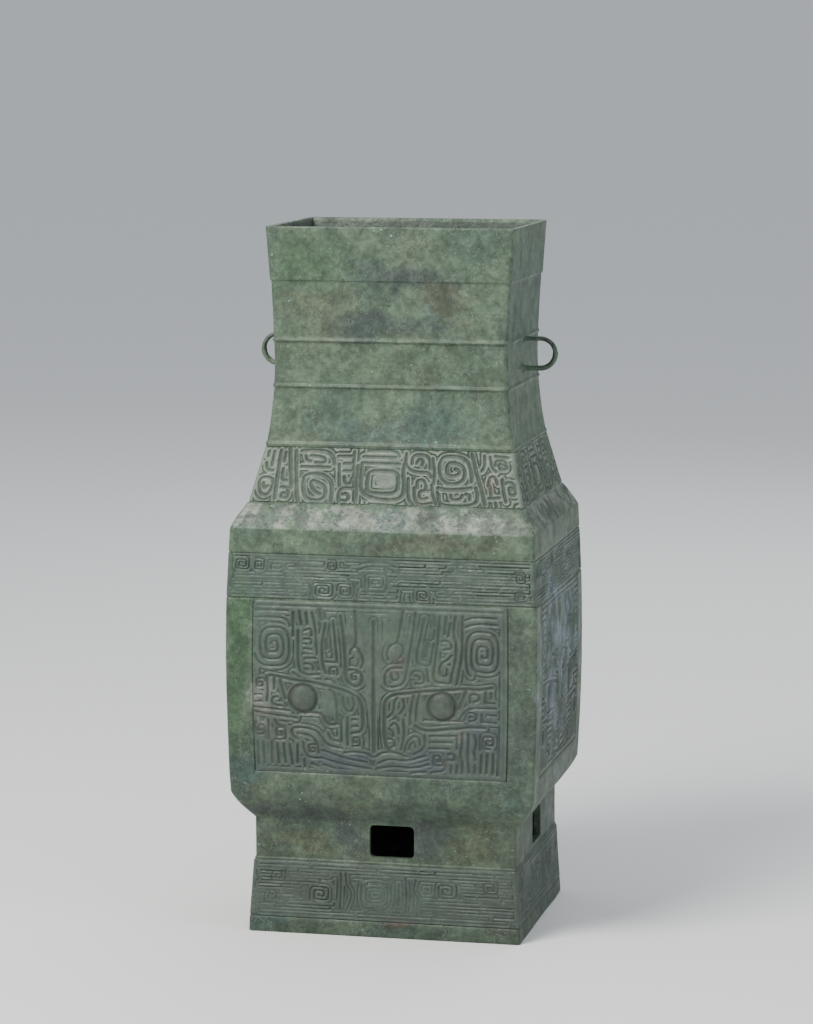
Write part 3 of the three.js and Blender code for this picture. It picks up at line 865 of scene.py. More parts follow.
def belly_frieze(seed):
    gaps = [(-9.5, 5.0, 6, 16.5), (-40, -15, 0.5, 10.5), (-87, -66, 14, 24), (20, 30, 1, 8),
            (-40, -24, 17, 24)]
    motifs = [
        coil(-2.2, 11.2, 6.4, 5.2, 1.0, 0, core=1.0, square=0.4, width=1.2, depth=0.7),
        square_coil(-33.0, 5.6, 6.6, 4.6, 2.4, 0),
        square_coil(-20.4, 6.0, 4.4, 4.2, 2.0, 180),
        square_coil(-81.6, 20.0, 4.8, 3.8, 2.2, 0),
        square_coil(-71.4, 19.6, 3.8, 3.8, 1.8, 180),
        square_coil(-28.4, 20.4, 3.4, 3.2, 1.8, 180),
        square_coil(25.0, 4.6, 3.8, 3.2, 1.8, 0),
        square_coil(81.6, 16.2, 3.6, 3.8, 1.9, 180),
        square_coil(81.6, 6.0, 3.6, 3.4, 1.9, 0),
        curve((-12, 18.2), (-8, 20.4), (4, 20.4), (8.6, 17.4), width=1.0, depth=0.9),
        curve((-12, 21.4), (-7, 23.4), (3.4, 23.4), (9.6, 20.4), width=1.0, depth=0.8),
    ]
    return level_lines(BELLY, 1.88, seed, gaps) + motifs


def foot_frieze(seed):
    gaps = [(-12, 3, 10, 22), (-45, -30, 8, 20), (29, 44, 14, 26), (-27, -19, 4, 29), (12, 20, 4, 27)]
    motifs = [
        coil(-5.0, 15.6, 5.4, 4.4, 1.0, 0, core=1.0, square=0.45, width=1.2, depth=0.6),
        curve((-13, 22), (-13.6, 10), (-9, 6.6), (0, 6.6), (4.4, 10), (4.4, 22), width=1.1, depth=0.7),
        curve((-12, 24.4), (-6, 25.6), (3, 24.4), width=1.1, depth=0.7),
        curve((-25.6, 28), (-25.2, 17), (-25.6, 6), width=1.1, depth=0.8),
        curve((-22.6, 28), (-22.0, 21), (-18.8, 17), (-19.4, 12), (-21.6, 6), width=1.1, depth=0.8),
        curve((12.6, 27), (13.6, 17), (12.8, 6), width=1.1, depth=0.7),
        curve((18.8, 26), (17.2, 20), (20.2, 15), (19.2, 6), width=1.1, depth=0.8),
        square_coil(-37.4, 14.6, 6.4, 5.0, 2.1, 180),
        square_coil(36.6, 20.2, 6.2, 5.0, 2.1, 0),
        square_coil(62.0, 23.4, 5.0, 4.0, 1.9, 90),
        square_coil(-63.0, 24.6, 4.6, 4.0, 1.8, 90),
        square_coil(-66.0, 12.4, 4.6, 4.0, 1.8, 0),
    ]
    return level_lines(FOOT, 1.95, seed, gaps) + motifs


# %% [markdown]
# ## The patina
#
# Three thousand years in the ground have turned the bronze's surface to minerals: a sage green skin,
# olive and slate where the soil was wetter, sandy grains, pale crust and small turquoise spots. Each
# of these is a noise at its own size, so the metal reads well both from across a room and close to.
# Plain and carved pieces share the same effects, so these are node groups that each material places
# with its own values. All of them read Object coordinates, and so run on over every seam.

# %% Helpers that add shader nodes
def tone(red, green, blue):
    """A colour given as it looks on a screen, from 0 to 255, turned into light."""
    levels = np.array([red, green, blue]) / 255
    light = np.where(levels <= 0.04045, levels / 12.92, ((levels + 0.055) / 1.055) ** 2.4)
    return (*light, 1.0)


def add_node(tree, kind, inputs=(), **settings):
    """Adds a node, sets its options, and feeds its inputs with values or with other nodes."""
    made = tree.nodes.new(kind)
    for name, value in settings.items():
        setattr(made, name, value)
    for socket, value in dict(inputs).items():
        if isinstance(value, bpy.types.NodeSocket):
            tree.links.new(value, made.inputs[socket])
        else:
            made.inputs[socket].default_value = value
    return made


def grain(tree, place, size, detail=3.0, rough=0.6, seed=0.0):
    """Noise from 0 to 1 whose lumps are about the size given."""
    inputs = {"Vector": place, "W": seed, "Scale": 1 / size, "Detail": detail, "Roughness": rough}
    return add_node(tree, "ShaderNodeTexNoise", inputs, noise_dimensions="4D").outputs["Fac"]


def rise(tree, value, start, end, low_level=0.0, high_level=1.0):
    """A smooth rise from one level to another while a value goes from start to end."""
    inputs = {"Value": value, "From Min": start, "From Max": end, "To Min": low_level, "To Max": high_level}
    return add_node(tree, "ShaderNodeMapRange", inputs, interpolation_type="SMOOTHSTEP").outputs["Result"]


def calc(tree, operation, first, second=0.0):
    return add_node(tree, "ShaderNodeMath", {0: first, 1: second}, operation=operation).outputs["Value"]


def tint(tree, share, under, over, mode="MIX"):
    """Lays one colour over another."""
    inputs = {0: share, 6: under, 7: over}
    return add_node(tree, "ShaderNodeMix", inputs, data_type="RGBA", blend_type=mode).outputs[2]


def new_group(name, inputs, outputs):
    """A node group with named sockets, and its inner ends."""
    tree = bpy.data.node_groups.new(name, "ShaderNodeTree")
    for socket, kind in inputs.items():
        tree.interface.new_socket(socket, in_out="INPUT", socket_type=kind)
    for socket, kind in outputs.items():
        tree.interface.new_socket(socket, in_out="OUTPUT", socket_type=kind)
    return tree, tree.nodes.new("NodeGroupInput").outputs, tree.nodes.new("NodeGroupOutput").inputs


# %% [markdown]
# The large stains have their places: a slate cloud and a brown patch on the neck, teal at its foot,
# blue round the window, rust low on the foot. Each is a soft ball of colour, and one shared wander of
# the coordinates gives all of them ragged edges. On the right side, the pale blue-grey ball on the
# belly is partly painted light, and the teal ball on the neck is partly painted shade.

# %% The tones of the skin, its large stains, and painted light and shade
SAGE = tone(115, 138, 112)
MOSS = tone(97, 123, 101)
OLIVE = tone(118, 126, 96)
FERN = tone(86, 122, 84)
TEAL = tone(84, 114, 106)
SLATE = tone(84, 98, 96)
BROWN = tone(102, 104, 86)
RUST = tone(120, 94, 80)
DUSK = tone(84, 92, 112)
BLUE_GREY_AND_PAINTED_LIGHT = tone(198, 216, 232)
CHALK = tone(172, 180, 164)
TURQUOISE = tone(132, 186, 170)
STAINS_AND_PAINTED_LIGHT_AND_SHADE = [
    # place and half size in millimetres, tone, strength
    ((8, -54, 390), (26, 30, 9), SLATE, 0.75),
    ((-18, -53, 364), (22, 26, 9), SLATE, 0.75),
    ((14, -53, 363), (24, 26, 7), SLATE, 0.55),
    ((31, -53, 378), (13, 26, 9), BROWN, 0.7),
    ((-48, -53, 368), (20, 26, 18), OLIVE, 0.3),
    ((12, -55, 302), (42, 26, 9), TEAL, 0.5),
    ((22, -53, 373), (6, 10, 4), TURQUOISE, 0.3),
    ((84, -73, 85), (9, 10, 5), TURQUOISE, 0.35),
    ((-50, -54, 400), (22, 26, 14), FERN, 0.5),
    ((7, -73, 251), (14, 20, 7), TEAL, 0.75),
    ((-44, -70, 248), (16, 20, 9), FERN, 0.5),
    ((30, -77, 236), (44, 20, 6), BROWN, 0.6),
    ((-86, -79, 170), (7, 22, 60), FERN, 0.9),
    ((-84, -78, 100), (16, 22, 10), TEAL, 0.7),
    ((-66, -79, 128), (12, 16, 14), BROWN, 0.8),
    ((0, -79, 106), (66, 16, 8), SLATE, 0.6),
    ((70, -79, 178), (22, 16, 24), SLATE, 0.45),
    ((84, -79, 124), (8, 16, 26), SLATE, 0.6),
    ((-20, -65, 60), (11, 16, 12), SLATE, 0.7),
    ((28, -65, 60), (13, 16, 13), SLATE, 0.75),
    ((-60, -65, 73), (46, 16, 6), SLATE, 0.7),
    ((-52, -65, 56), (20, 16, 7), OLIVE, 0.6),
    ((52, -65, 55), (16, 16, 8), OLIVE, 0.6),
    ((10, -68, 11), (11, 12, 3), RUST, 0.6),
    ((72, -67, 24), (14, 12, 18), BROWN, 0.8),
    ((-48, -67, 28), (24, 12, 10), BROWN, 0.6),
    ((-72, -68, 6), (16, 14, 9), TEAL, 0.8),
    ((63, -62, 271), (7, 12, 6), RUST, 0.55),
    ((-46, -82, 144), (9, 9, 9), BROWN, 0.6),
    ((38, -82, 142), (9, 9, 9), BROWN, 0.5),
    ((-69, -80, 147), (6, 10, 9), CHALK, 0.95),
    ((-70, -80, 127), (5, 10, 8), CHALK, 0.8),
    ((50, -82, 126), (5, 10, 4), CHALK, 0.9),
    ((-21, -82, 108), (24, 10, 7), DUSK, 0.8),
    ((30, -82, 110), (16, 10, 10), DUSK, 0.7),
    ((60, -82, 128), (14, 10, 18), DUSK, 0.6),
    ((-9, -82, 192), (6, 10, 11), FERN, 0.9),
    ((9, -82, 190), (7, 10, 13), FERN, 0.7),
    ((-26, -82, 143), (7, 10, 9), FERN, 0.7),
    ((12, -82, 165), (5, 10, 4), RUST, 0.7),
    # Partly painted light: blue-grey patina on the right face of the belly, made paler to stand in for
    # light on that shaded side.
    ((101, -4, 168), (9, 76, 80), BLUE_GREY_AND_PAINTED_LIGHT, 0.8),
    ((93, 30, 120), (10, 40, 22), OLIVE, 0.5),
    # Partly painted shade: teal patina on the right side of the neck, which also darkens that side as shade
    # would.
    ((72, 8, 372), (12, 60, 40), TEAL, 0.3),
]
# Painted shade: shares of the tones' lightness that are left at the very bottom, and on the flare of the
# foot.
LOWER_SHADE = 0.68
FOOT_SHADE = 0.90


def tones_group():
    kinds = {"Place": "NodeSocketVector"}
    tree, entry, end = new_group("Patina tones, painted light and shade", kinds, {"Color": "NodeSocketColor"})
    place = entry["Place"]
    broad = grain(tree, place, 30 * MM, 4, 0.6, 1.0)
    colour = tint(tree, rise(tree, broad, 0.36, 0.62), MOSS, SAGE)
    olive = rise(tree, grain(tree, place, 22 * MM, 4, 0.65, 3.0), 0.50, 0.68, 0, 0.4)
    colour = tint(tree, olive, colour, OLIVE)
    slate = rise(tree, grain(tree, place, 15 * MM, 5, 0.65, 4.0), 0.54, 0.70, 0, 0.5)
    colour = tint(tree, slate, colour, SLATE)
    wander = None
    for size, reach, seed in ((15 * MM, 26 * MM, 5.0), (4 * MM, 7 * MM, 6.0)):
        lumps = {"Vector": place, "W": seed, "Scale": 1 / size}
        swirl = add_node(tree, "ShaderNodeTexNoise", lumps, noise_dimensions="4D")
        centring = {0: swirl.outputs["Color"], 1: (0.5, 0.5, 0.5)}
        centred = add_node(tree, "ShaderNodeVectorMath", centring, operation="SUBTRACT")
        moved = {0: centred.outputs[0], 1: (reach, reach, reach), 2: wander or place}
        wander = add_node(tree, "ShaderNodeVectorMath", moved, operation="MULTIPLY_ADD").outputs[0]
    for centre, half_size, stain, strength in STAINS_AND_PAINTED_LIGHT_AND_SHADE:
        offset = {0: wander, 1: tuple(np.array(centre) * MM)}
        offset = add_node(tree, "ShaderNodeVectorMath", offset, operation="SUBTRACT").outputs[0]
        scaled = {0: offset, 1: tuple(np.array(half_size) * MM)}
        scaled = add_node(tree, "ShaderNodeVectorMath", scaled, operation="DIVIDE").outputs[0]
        far = add_node(tree, "ShaderNodeVectorMath", {0: scaled}, operation="LENGTH").outputs["Value"]
        colour = tint(tree, rise(tree, far, 1.35, 0.5, 0, strength), colour, stain)
    height = add_node(tree, "ShaderNodeSeparateXYZ", {"Vector": place}).outputs["Z"]
    bevel = calc(tree, "SUBTRACT", rise(tree, height, 0.2435, 0.2465), rise(tree, height, 0.2565, 0.2585))
    crusty = rise(tree, grain(tree, place, 11 * MM, 4, 0.7, 8.0), 0.45, 0.57, 0.0, 0.8)
    colour = tint(tree, calc(tree, "MULTIPLY", bevel, crusty), colour, CHALK)
    worn = rise(tree, grain(tree, place, 13 * MM, 4, 0.7, 31.0), 0.50, 0.60, 0.0, 0.75)
    colour = tint(tree, calc(tree, "MULTIPLY", bevel, worn), colour, tone(86, 98, 88))
    shade = rise(tree, grain(tree, place, 9 * MM, 4, 0.65, 2.0), 0.34, 0.66, 0.36, 0.63)
    fine = rise(tree, grain(tree, place, 2.8 * MM, 4, 0.7, 9.0), 0.34, 0.66, 0.72, 1.24)
    shade = calc(tree, "MULTIPLY", shade, fine)
    # Painted shade: the tones grow darker towards the bottom and on the foot's flare.
    shade = calc(tree, "MULTIPLY", shade, rise(tree, height, 0.0, 0.30, LOWER_SHADE, 1.0))
    shade = calc(tree, "MULTIPLY", shade, rise(tree, height, 0.040, 0.050, FOOT_SHADE, 1.0))
    tree.links.new(tint(tree, 1.0, colour, shade, "MULTIPLY"), end["Color"])
    return tree


# %% [markdown]
# The crust is what makes the green read as mineral: sandy grains in drifts, pale dabs, a few
# turquoise spots and dark pits. It changes the colour, the sheen and the height together.

# %% The sandy crust
def crust_group():
    kinds = {"Place": "NodeSocketVector", "Color": "NodeSocketColor", "Amount": "NodeSocketFloat"}
    results = {"Color": "NodeSocketColor", "Roughness": "NodeSocketFloat", "Height": "NodeSocketFloat"}
    tree, entry, end = new_group("Sandy crust", kinds, results)
    place, colour, amount = entry["Place"], entry["Color"], entry["Amount"]
    drift = rise(tree, grain(tree, place, 13 * MM, 3, 0.6, 11.0), 0.42, 0.62)
    sand = rise(tree, grain(tree, place, 0.9 * MM, 2, 0.6, 12.0), 0.52, 0.66)
    sand = calc(tree, "MULTIPLY", calc(tree, "MULTIPLY", sand, drift), amount)
    pits = rise(tree, grain(tree, place, 1.5 * MM, 3, 0.65, 13.0), 0.42, 0.30)
    pits = calc(tree, "MULTIPLY", pits, amount)
    dabs = rise(tree, grain(tree, place, 3.2 * MM, 4, 0.7, 14.0), 0.64, 0.72)
    dabs = calc(tree, "MULTIPLY", dabs, rise(tree, grain(tree, place, 30 * MM, 2, 0.5, 15.0), 0.50, 0.60))
    spots = rise(tree, grain(tree, place, 2.4 * MM, 3, 0.6, 16.0), 0.65, 0.71)
    spots = calc(tree, "MULTIPLY", spots, rise(tree, grain(tree, place, 24 * MM, 2, 0.5, 17.0), 0.52, 0.60))
    colour = tint(tree, calc(tree, "MULTIPLY", sand, 0.22), colour, CHALK)
    colour = tint(tree, calc(tree, "MULTIPLY", pits, 0.6), colour, tone(48, 58, 52))
    colour = tint(tree, calc(tree, "MULTIPLY", dabs, 0.6), colour, CHALK)
    colour = tint(tree, calc(tree, "MULTIPLY", spots, 0.75), colour, TURQUOISE)
    tree.links.new(colour, end["Color"])
    raised = calc(tree, "ADD", calc(tree, "MULTIPLY", sand, 0.35), calc(tree, "MULTIPLY", dabs, 0.4))
    lumps = calc(tree, "MULTIPLY", grain(tree, place, 2.6 * MM, 4, 0.6, 18.0), 0.9)
    height = calc(tree, "SUBTRACT", calc(tree, "ADD", raised, lumps), calc(tree, "MULTIPLY", pits, 0.45))
    tree.links.new(height, end["Height"])
    matt = rise(tree, grain(tree, place, 12 * MM, 3, 0.6, 19.0), 0.35, 0.65, 0.46, 0.62)
    matt = calc(tree, "ADD", matt, calc(tree, "MULTIPLY", calc(tree, "MAXIMUM", sand, dabs), 0.25))
    tree.links.new(matt, end["Roughness"])
    return tree


# %% [markdown]
# Soil stays in the grooves of the ornament, and hands and cleaning have paled the ridges between them.
# The same soil tone darkens the inner faces of the foot and the body, as painted shade.
# The masks and the worn friezes are turned towards a darker dull tone.

# %% Soil in the grooves
def soil_group():
    kinds = {
        "Place": "NodeSocketVector",
        "Color": "NodeSocketColor",
        "Carved and shaded": "NodeSocketFloat",
        "Paling": "NodeSocketFloat",
        "Packed soil and shade": "NodeSocketFloat",
        "Dulling": "NodeSocketFloat",
    }
    tree, entry, end = new_group("Soil in grooves and painted shade inside", kinds, {"Color": "NodeSocketColor"})
    place, carved_and_shaded = entry["Place"], entry["Carved and shaded"]
    ridge = calc(tree, "SUBTRACT", 1.0, rise(tree, carved_and_shaded, 0.0, 0.35))
    patchy = rise(tree, grain(tree, place, 8 * MM, 3, 0.6, 21.0), 0.35, 0.6, 0.35, 1.0)
    paled = calc(tree, "MULTIPLY", calc(tree, "MULTIPLY", ridge, patchy), entry["Paling"])
    colour = tint(tree, paled, entry["Color"], tone(128, 136, 122))
    rusty = rise(tree, grain(tree, place, 9 * MM, 3, 0.6, 22.0), 0.55, 0.68)
    soil = tint(tree, rusty, tone(50, 59, 52), tone(74, 68, 58))
    colour = tint(tree, entry["Dulling"], colour, tone(62, 74, 71))
    # Packed soil darkens the grooves; on the skin's inner faces the same darkening is painted shade.
    packed = calc(tree, "MULTIPLY", rise(tree, carved_and_shaded, 0.15, 0.9), entry["Packed soil and shade"])
    tree.links.new(tint(tree, packed, colour, soil), end["Color"])
    return tree


# %% The bronze materials
TONES, CRUST, SOIL = tones_group(), crust_group(), soil_group()


def bronze(name, crust, paling, packed_soil_and_shade, dulling):
    """The patinated bronze, with its own share of crust, paled ridges, packed soil and painted shade
    inside, and a darker dull tone.
    """
    material = bpy.data.materials.new(name)
    material.use_nodes = True
    tree = material.node_tree
    shader = tree.nodes["Principled BSDF"]
    place = add_node(tree, "ShaderNodeTexCoord").outputs["Object"]
    carved_and_shaded = add_node(tree, "ShaderNodeAttribute", attribute_name="carved_and_shaded").outputs["Fac"]
    tones = add_node(tree, "ShaderNodeGroup", node_tree=TONES)
    tree.links.new(place, tones.inputs["Place"])
    sandy = add_node(tree, "ShaderNodeGroup", node_tree=CRUST)
    tree.links.new(place, sandy.inputs["Place"])
    tree.links.new(tones.outputs["Color"], sandy.inputs["Color"])
    sandy.inputs["Amount"].default_value = crust
    soiled = add_node(tree, "ShaderNodeGroup", node_tree=SOIL)
    tree.links.new(place, soiled.inputs["Place"])
    tree.links.new(sandy.outputs["Color"], soiled.inputs["Color"])
    tree.links.new(carved_and_shaded, soiled.inputs["Carved and shaded"])
    soiled.inputs["Paling"].default_value = paling
    soiled.inputs["Packed soil and shade"].default_value = packed_soil_and_shade
    soiled.inputs["Dulling"].default_value = dulling
    tree.links.new(soiled.outputs["Color"], shader.inputs["Base Color"])
    tree.links.new(sandy.outputs["Roughness"], shader.inputs["Roughness"])
    shader.inputs["Metallic"].default_value = 0.12
    uneven = {"Height": sandy.outputs["Height"], "Distance": 0.4 * MM, "Strength": 0.9}
    bump = add_node(tree, "ShaderNodeBump", uneven)
    tree.links.new(bump.outputs["Normal"], shader.inputs["Normal"])
    return material


# The plain bronze's soil share falls only on the skin's inner faces, where it is painted shade.
plain_bronze = bronze("plain bronze", 1.0, 0.0, 0.8, 0.0)
shoulder_bronze = bronze("shoulder bronze", 0.55, 0.7, 0.8, 0.12)
mask_bronze = bronze("mask bronze", 0.6, 0.15, 0.7, 0.45)
frieze_bronze = bronze("frieze bronze", 0.8, 0.12, 0.85, 0.45)

# %% [markdown]
# ## Carved bands
#
# Each frieze is a band that runs round the body in a shallow bed of the skin, and meets it in the
# groove that borders the frieze, where no seam can show. Each mask is a panel set in the same way.
# The wear is a slow noise that makes the grooves shallower where the metal was rubbed or corroded.

# %% Heights of the carved surface
BED = 1.6 * MM
BORDER_DEPTH = 0.6 * MM


def carved_depth(zone, side, columns, heights, style, depth, wear, wear_size):
    """How deep the ornament lies at each row and column of one face, in metres."""
    up = (heights - zone["base"]) / (zone["top"] - zone["base"]) * zone["height"]
    along = columns["share"] / columns["edge"] * zone["width"]
    deep = groove_depths(
        np.broadcast_to(along[None], (len(up), len(along))),
        np.broadcast_to(up[:, None], (len(up), len(along))),
        **style,
    )
    places = wrapped(columns, heights, heights, np.zeros((len(heights), len(along))))
    rubbed = noise(places.reshape(-1, 3), wear_size, 11.0 + side).reshape(deep.shape)
    kept = np.clip(1 - wear * (0.5 + 0.9 * rubbed), 0.12, 1)
    return deep * kept * depth, deep * kept


def with_waves(columns, heights, push):
    """The places of a carved grid, with the casting's waves added."""
    unpushed = wrapped(columns, heights, heights, np.zeros_like(push))
    waves = casting_waves(unpushed.reshape(-1, 3)).reshape(push.shape)
    return wrapped(columns, heights, heights, push + waves)


def band(name, zone, cell, style_of_side, depth, wear, wear_size, finish):
    """A closed band round the body with ornament on its four faces."""
    row_count = int((zone["top"] - zone["base"]) / cell) + 1
    heights = np.linspace(zone["base"], zone["top"], row_count)
    middle = outline((zone["base"] + zone["top"]) / 2) - CORNER
    shares = [np.linspace(-1, 1, int(2 * reach / cell) + 1) for reach in middle]
    columns = ring_columns(shares[0], shares[1], 7)
    columns["edge"] = np.ones(len(columns["share"]))
    push = np.zeros((row_count, len(columns["share"])))
    mask = np.zeros_like(push)
    for side in SIDES:
        picked = np.nonzero((columns["side"] == side) & (columns["bend"] == 0))[0]
        picked = picked[: len(shares[side % 2])]
        face = {key: values[picked] for key, values in columns.items()}
        cut, share = carved_depth(zone, side, face, heights, style_of_side[side], depth, wear, wear_size)
        push[:, picked] = -cut
        mask[:, picked] = share
    push[:, -1], mask[:, -1] = push[:, 0], mask[:, 0]
    for row in (0, -1):
        push[row] = -BORDER_DEPTH
        mask[row] = 0.8
    places = with_waves(columns, heights, push)
    sunk = np.full((1, push.shape[1]), -1.2 * BED)
    lower, upper = (with_waves(columns, heights[row : row + 1], sunk) for row in (0, row_count - 1))
    places = np.concatenate([lower, places, upper, lower])
    blank = np.zeros((1, push.shape[1]))
    mask = np.concatenate([blank, mask, blank, blank])
    return place_piece(name, closed(moved_grid(name, places, mask)), finish)


def eye_channel(eye_along, eye_up):
    """The round groove about an eye."""
    turns = np.linspace(0, 2 * math.pi, 33)
    across = np.stack([np.cos(turns), np.sin(turns)], 1) * (EYE_RADIUS + 0.8)
    return {"points": across + (eye_along, eye_up), "width": 2.0, "depth": 1.15}


def with_eyes(push, mask, along, up, eyes):
    """Sets a round dome in the channel of each eye of a mask."""
    for eye_along, eye_up in eyes:
        gap = np.hypot(along - eye_along, up - eye_up)
        dome = np.sqrt(np.clip(1 - (gap / EYE_RADIUS) ** 2, 0, 1))
        inside = gap < EYE_RADIUS + 0.1
        push = np.where(inside, EYE_RELIEF * dome**0.8 - 0.3 * MM, push)
        mask = np.where(inside, 0.75 - 0.5 * dome, mask)
    return push, mask


def panel(name, side, cell, style, eyes, depth, wear, wear_size, finish):
    """A closed slab on one face of the belly, with the mask on its front."""
    zone = MASK
    heights = np.linspace(zone["base"], zone["top"], int((zone["top"] - zone["base"]) / cell) + 1)
    reach = outline((zone["base"] + zone["top"]) / 2)[side % 2]
    edge = (reach - zone["margin"]) / (reach - CORNER)
    shares = np.linspace(-edge, edge, int(2 * (reach - zone["margin"]) / cell) + 1)
    columns = face_columns(side, shares)
    columns["edge"] = np.full(len(shares), edge)
    cut, mask = carved_depth(zone, side, columns, heights, style, depth, wear, wear_size)
    stretch = (reach - zone["margin"]) / (zone["width"] * MM)
    up = ((heights - zone["base"]) / (zone["top"] - zone["base"]) * zone["height"])[:, None]
    along = (shares / edge * zone["width"])[None] * stretch
    placed = [(eye_along * stretch, eye_up) for eye_along, eye_up in eyes]
    push, mask = with_eyes(-cut, mask, along, up, placed)
    for edge_part in (np.s_[0], np.s_[-1], np.s_[:, 0], np.s_[:, -1]):
        push[edge_part] = -BORDER_DEPTH
        mask[edge_part] = 0.5
    places = with_waves(columns, heights, push)
    back = np.pad(places, ((1, 1), (1, 1), (0, 0)), mode="edge")
    back += np.append(OUTWARD[side], 0) * -1.0 * BED
    back[1:-1, 1:-1] = places
    mesh = moved_grid(name, back, np.pad(mask, 1))
    return place_piece(name, backed(mesh), finish)


def backed(mesh):
    """Closes the back of a slab: its rim is drawn in to one point behind the middle."""
    shape = bmesh.new()
    shape.from_mesh(mesh)
    bmesh.ops.remove_doubles(shape, verts=shape.verts, dist=MERGE_DISTANCE)
    rim = [edge for edge in shape.edges if edge.is_boundary]
    drawn = bmesh.ops.extrude_edge_only(shape, edges=rim)
    points = [item for item in drawn["geom"] if isinstance(item, bmesh.types.BMVert)]
    centre = sum((point.co for point in points), Vector()) / len(points)
    bmesh.ops.pointmerge(shape, verts=points, merge_co=centre)
    shape.to_mesh(mesh)
    shape.free()
    return mesh


# %% Make the bands and panels
CELL = 0.5 * MM
WIDE_CELL = 0.54 * MM
shoulder_sides = [
    {"grooves": grooves, "spread": 1.25, "filled": 0.85, "pitch": 2.5, "quiet": [(0.6, 15, 7.5, 6.5)]}
    for grooves in (shoulder_grooves, shoulder_plain_grooves) * 2
]
belly_sides = [{"grooves": belly_frieze(seed), "filled": 0.65, "pitch": 2.1} for seed in (3, 5, 8, 13)]
foot_sides = [{"grooves": foot_frieze(seed), "filled": 0.6, "pitch": 2.1} for seed in (4, 6, 9, 14)]
band("shoulder_frieze", SHOULDER, CELL, shoulder_sides, 0.85 * MM, 0.3, 20 * MM, shoulder_bronze)
band("belly_frieze", BELLY, WIDE_CELL, belly_sides, 0.85 * MM, 0.35, 16 * MM, frieze_bronze)
band("foot_frieze", FOOT, WIDE_CELL, foot_sides, 0.85 * MM, 0.5, 18 * MM, frieze_bronze)
QUIET_FRONT = [(-13, 87, 7, 16), (10, 87, 8, 16), (-30, 43, 6, 8), (24, 41, 5, 8), (-3.5, 60, 5, 30)]
QUIET_PLAIN = [(-11, 87, 7, 16), (11, 87, 7, 16), (-27, 42, 6, 8), (27, 42, 6, 8), (0, 60, 5, 30)]
for side, name in enumerate(("mask_front", "mask_right", "mask_back", "mask_left")):
    strokes, eyes, quiet = plain_mask, plain_eyes, QUIET_PLAIN
    if side == 0:
        strokes, eyes, quiet = front_mask, front_eyes, QUIET_FRONT
    strokes = strokes + [eye_channel(*eye) for eye in eyes]
    style = {"grooves": strokes, "spread": 1.15, "filled": 0.75, "quiet": quiet}
    panel(name, side, WIDE_CELL, style, eyes, 0.85 * MM, 0.35, 24 * MM, mask_bronze)

# %% [markdown]
# ## The skin
#
# The skin is one closed mesh: up the inside of the foot, over its rim, up the outside, over the lip
# and down the inside to the floor. Its rows lie close where the raised lines and the lip need them
# and far apart where the face is plain. Where a band or a panel lies, the skin drops into a bed.

# %% Rows of the skin, from the foot's hollow to the cavity's floor
FLOOR_UNDERSIDE = 71 * MM
FLOOR_TOP = 76 * MM
RAISED_LINES = {353 * MM: 1.15 * MM, 326 * MM: 1.1 * MM, 292 * MM: 0.9 * MM}
LINE_HALF_WIDTH = 1.6 * MM
BAND_BASE = HEIGHT - 32 * MM
BAND_RELIEF = 0.8 * MM
LIP = 0.8 * MM


def steps(start, end, spacing):
    """Heights from start up to end, without the last."""
    count = max(1, round(abs(end - start) / spacing))
    return list(np.linspace(start, end, count + 1)[:-1])


def bedded(zone):
    """Rows where the skin drops into the bed of a band, all round."""
    return [
        (zone["base"] - 0.8 * MM, 0, "plain"),
        (zone["base"], -BORDER_DEPTH, "plain"),
        (zone["base"] + 0.6 * MM, -BED, "plain"),
        (zone["top"] - 0.6 * MM, -BED, "plain"),
        (zone["top"], -BORDER_DEPTH, "plain"),
        (zone["top"] + 0.8 * MM, 0, "plain"),
    ]


def plain(start, end, spacing, push=0.0):
    return [(z, push, "plain") for z in steps(start, end, spacing)]


def line_push(z):
    total = 0.0
    for line, relief in RAISED_LINES.items():
        share = abs(z - line) / LINE_HALF_WIDTH
        total += relief * (1 - share * share) ** 2 if share < 1 else 0
    return total


def neck_rows():
    close = []
    for line in sorted(RAISED_LINES):
        close += list(np.linspace(line - LINE_HALF_WIDTH, line + LINE_HALF_WIDTH, 9))
    between = steps(SHOULDER["top"] + 1.0 * MM, BAND_BASE - 0.6 * MM, 2.6 * MM)
    between = [z for z in between if min(abs(z - line) for line in RAISED_LINES) > LINE_HALF_WIDTH]
    return [(z, line_push(z), "line") for z in sorted(close + between)]


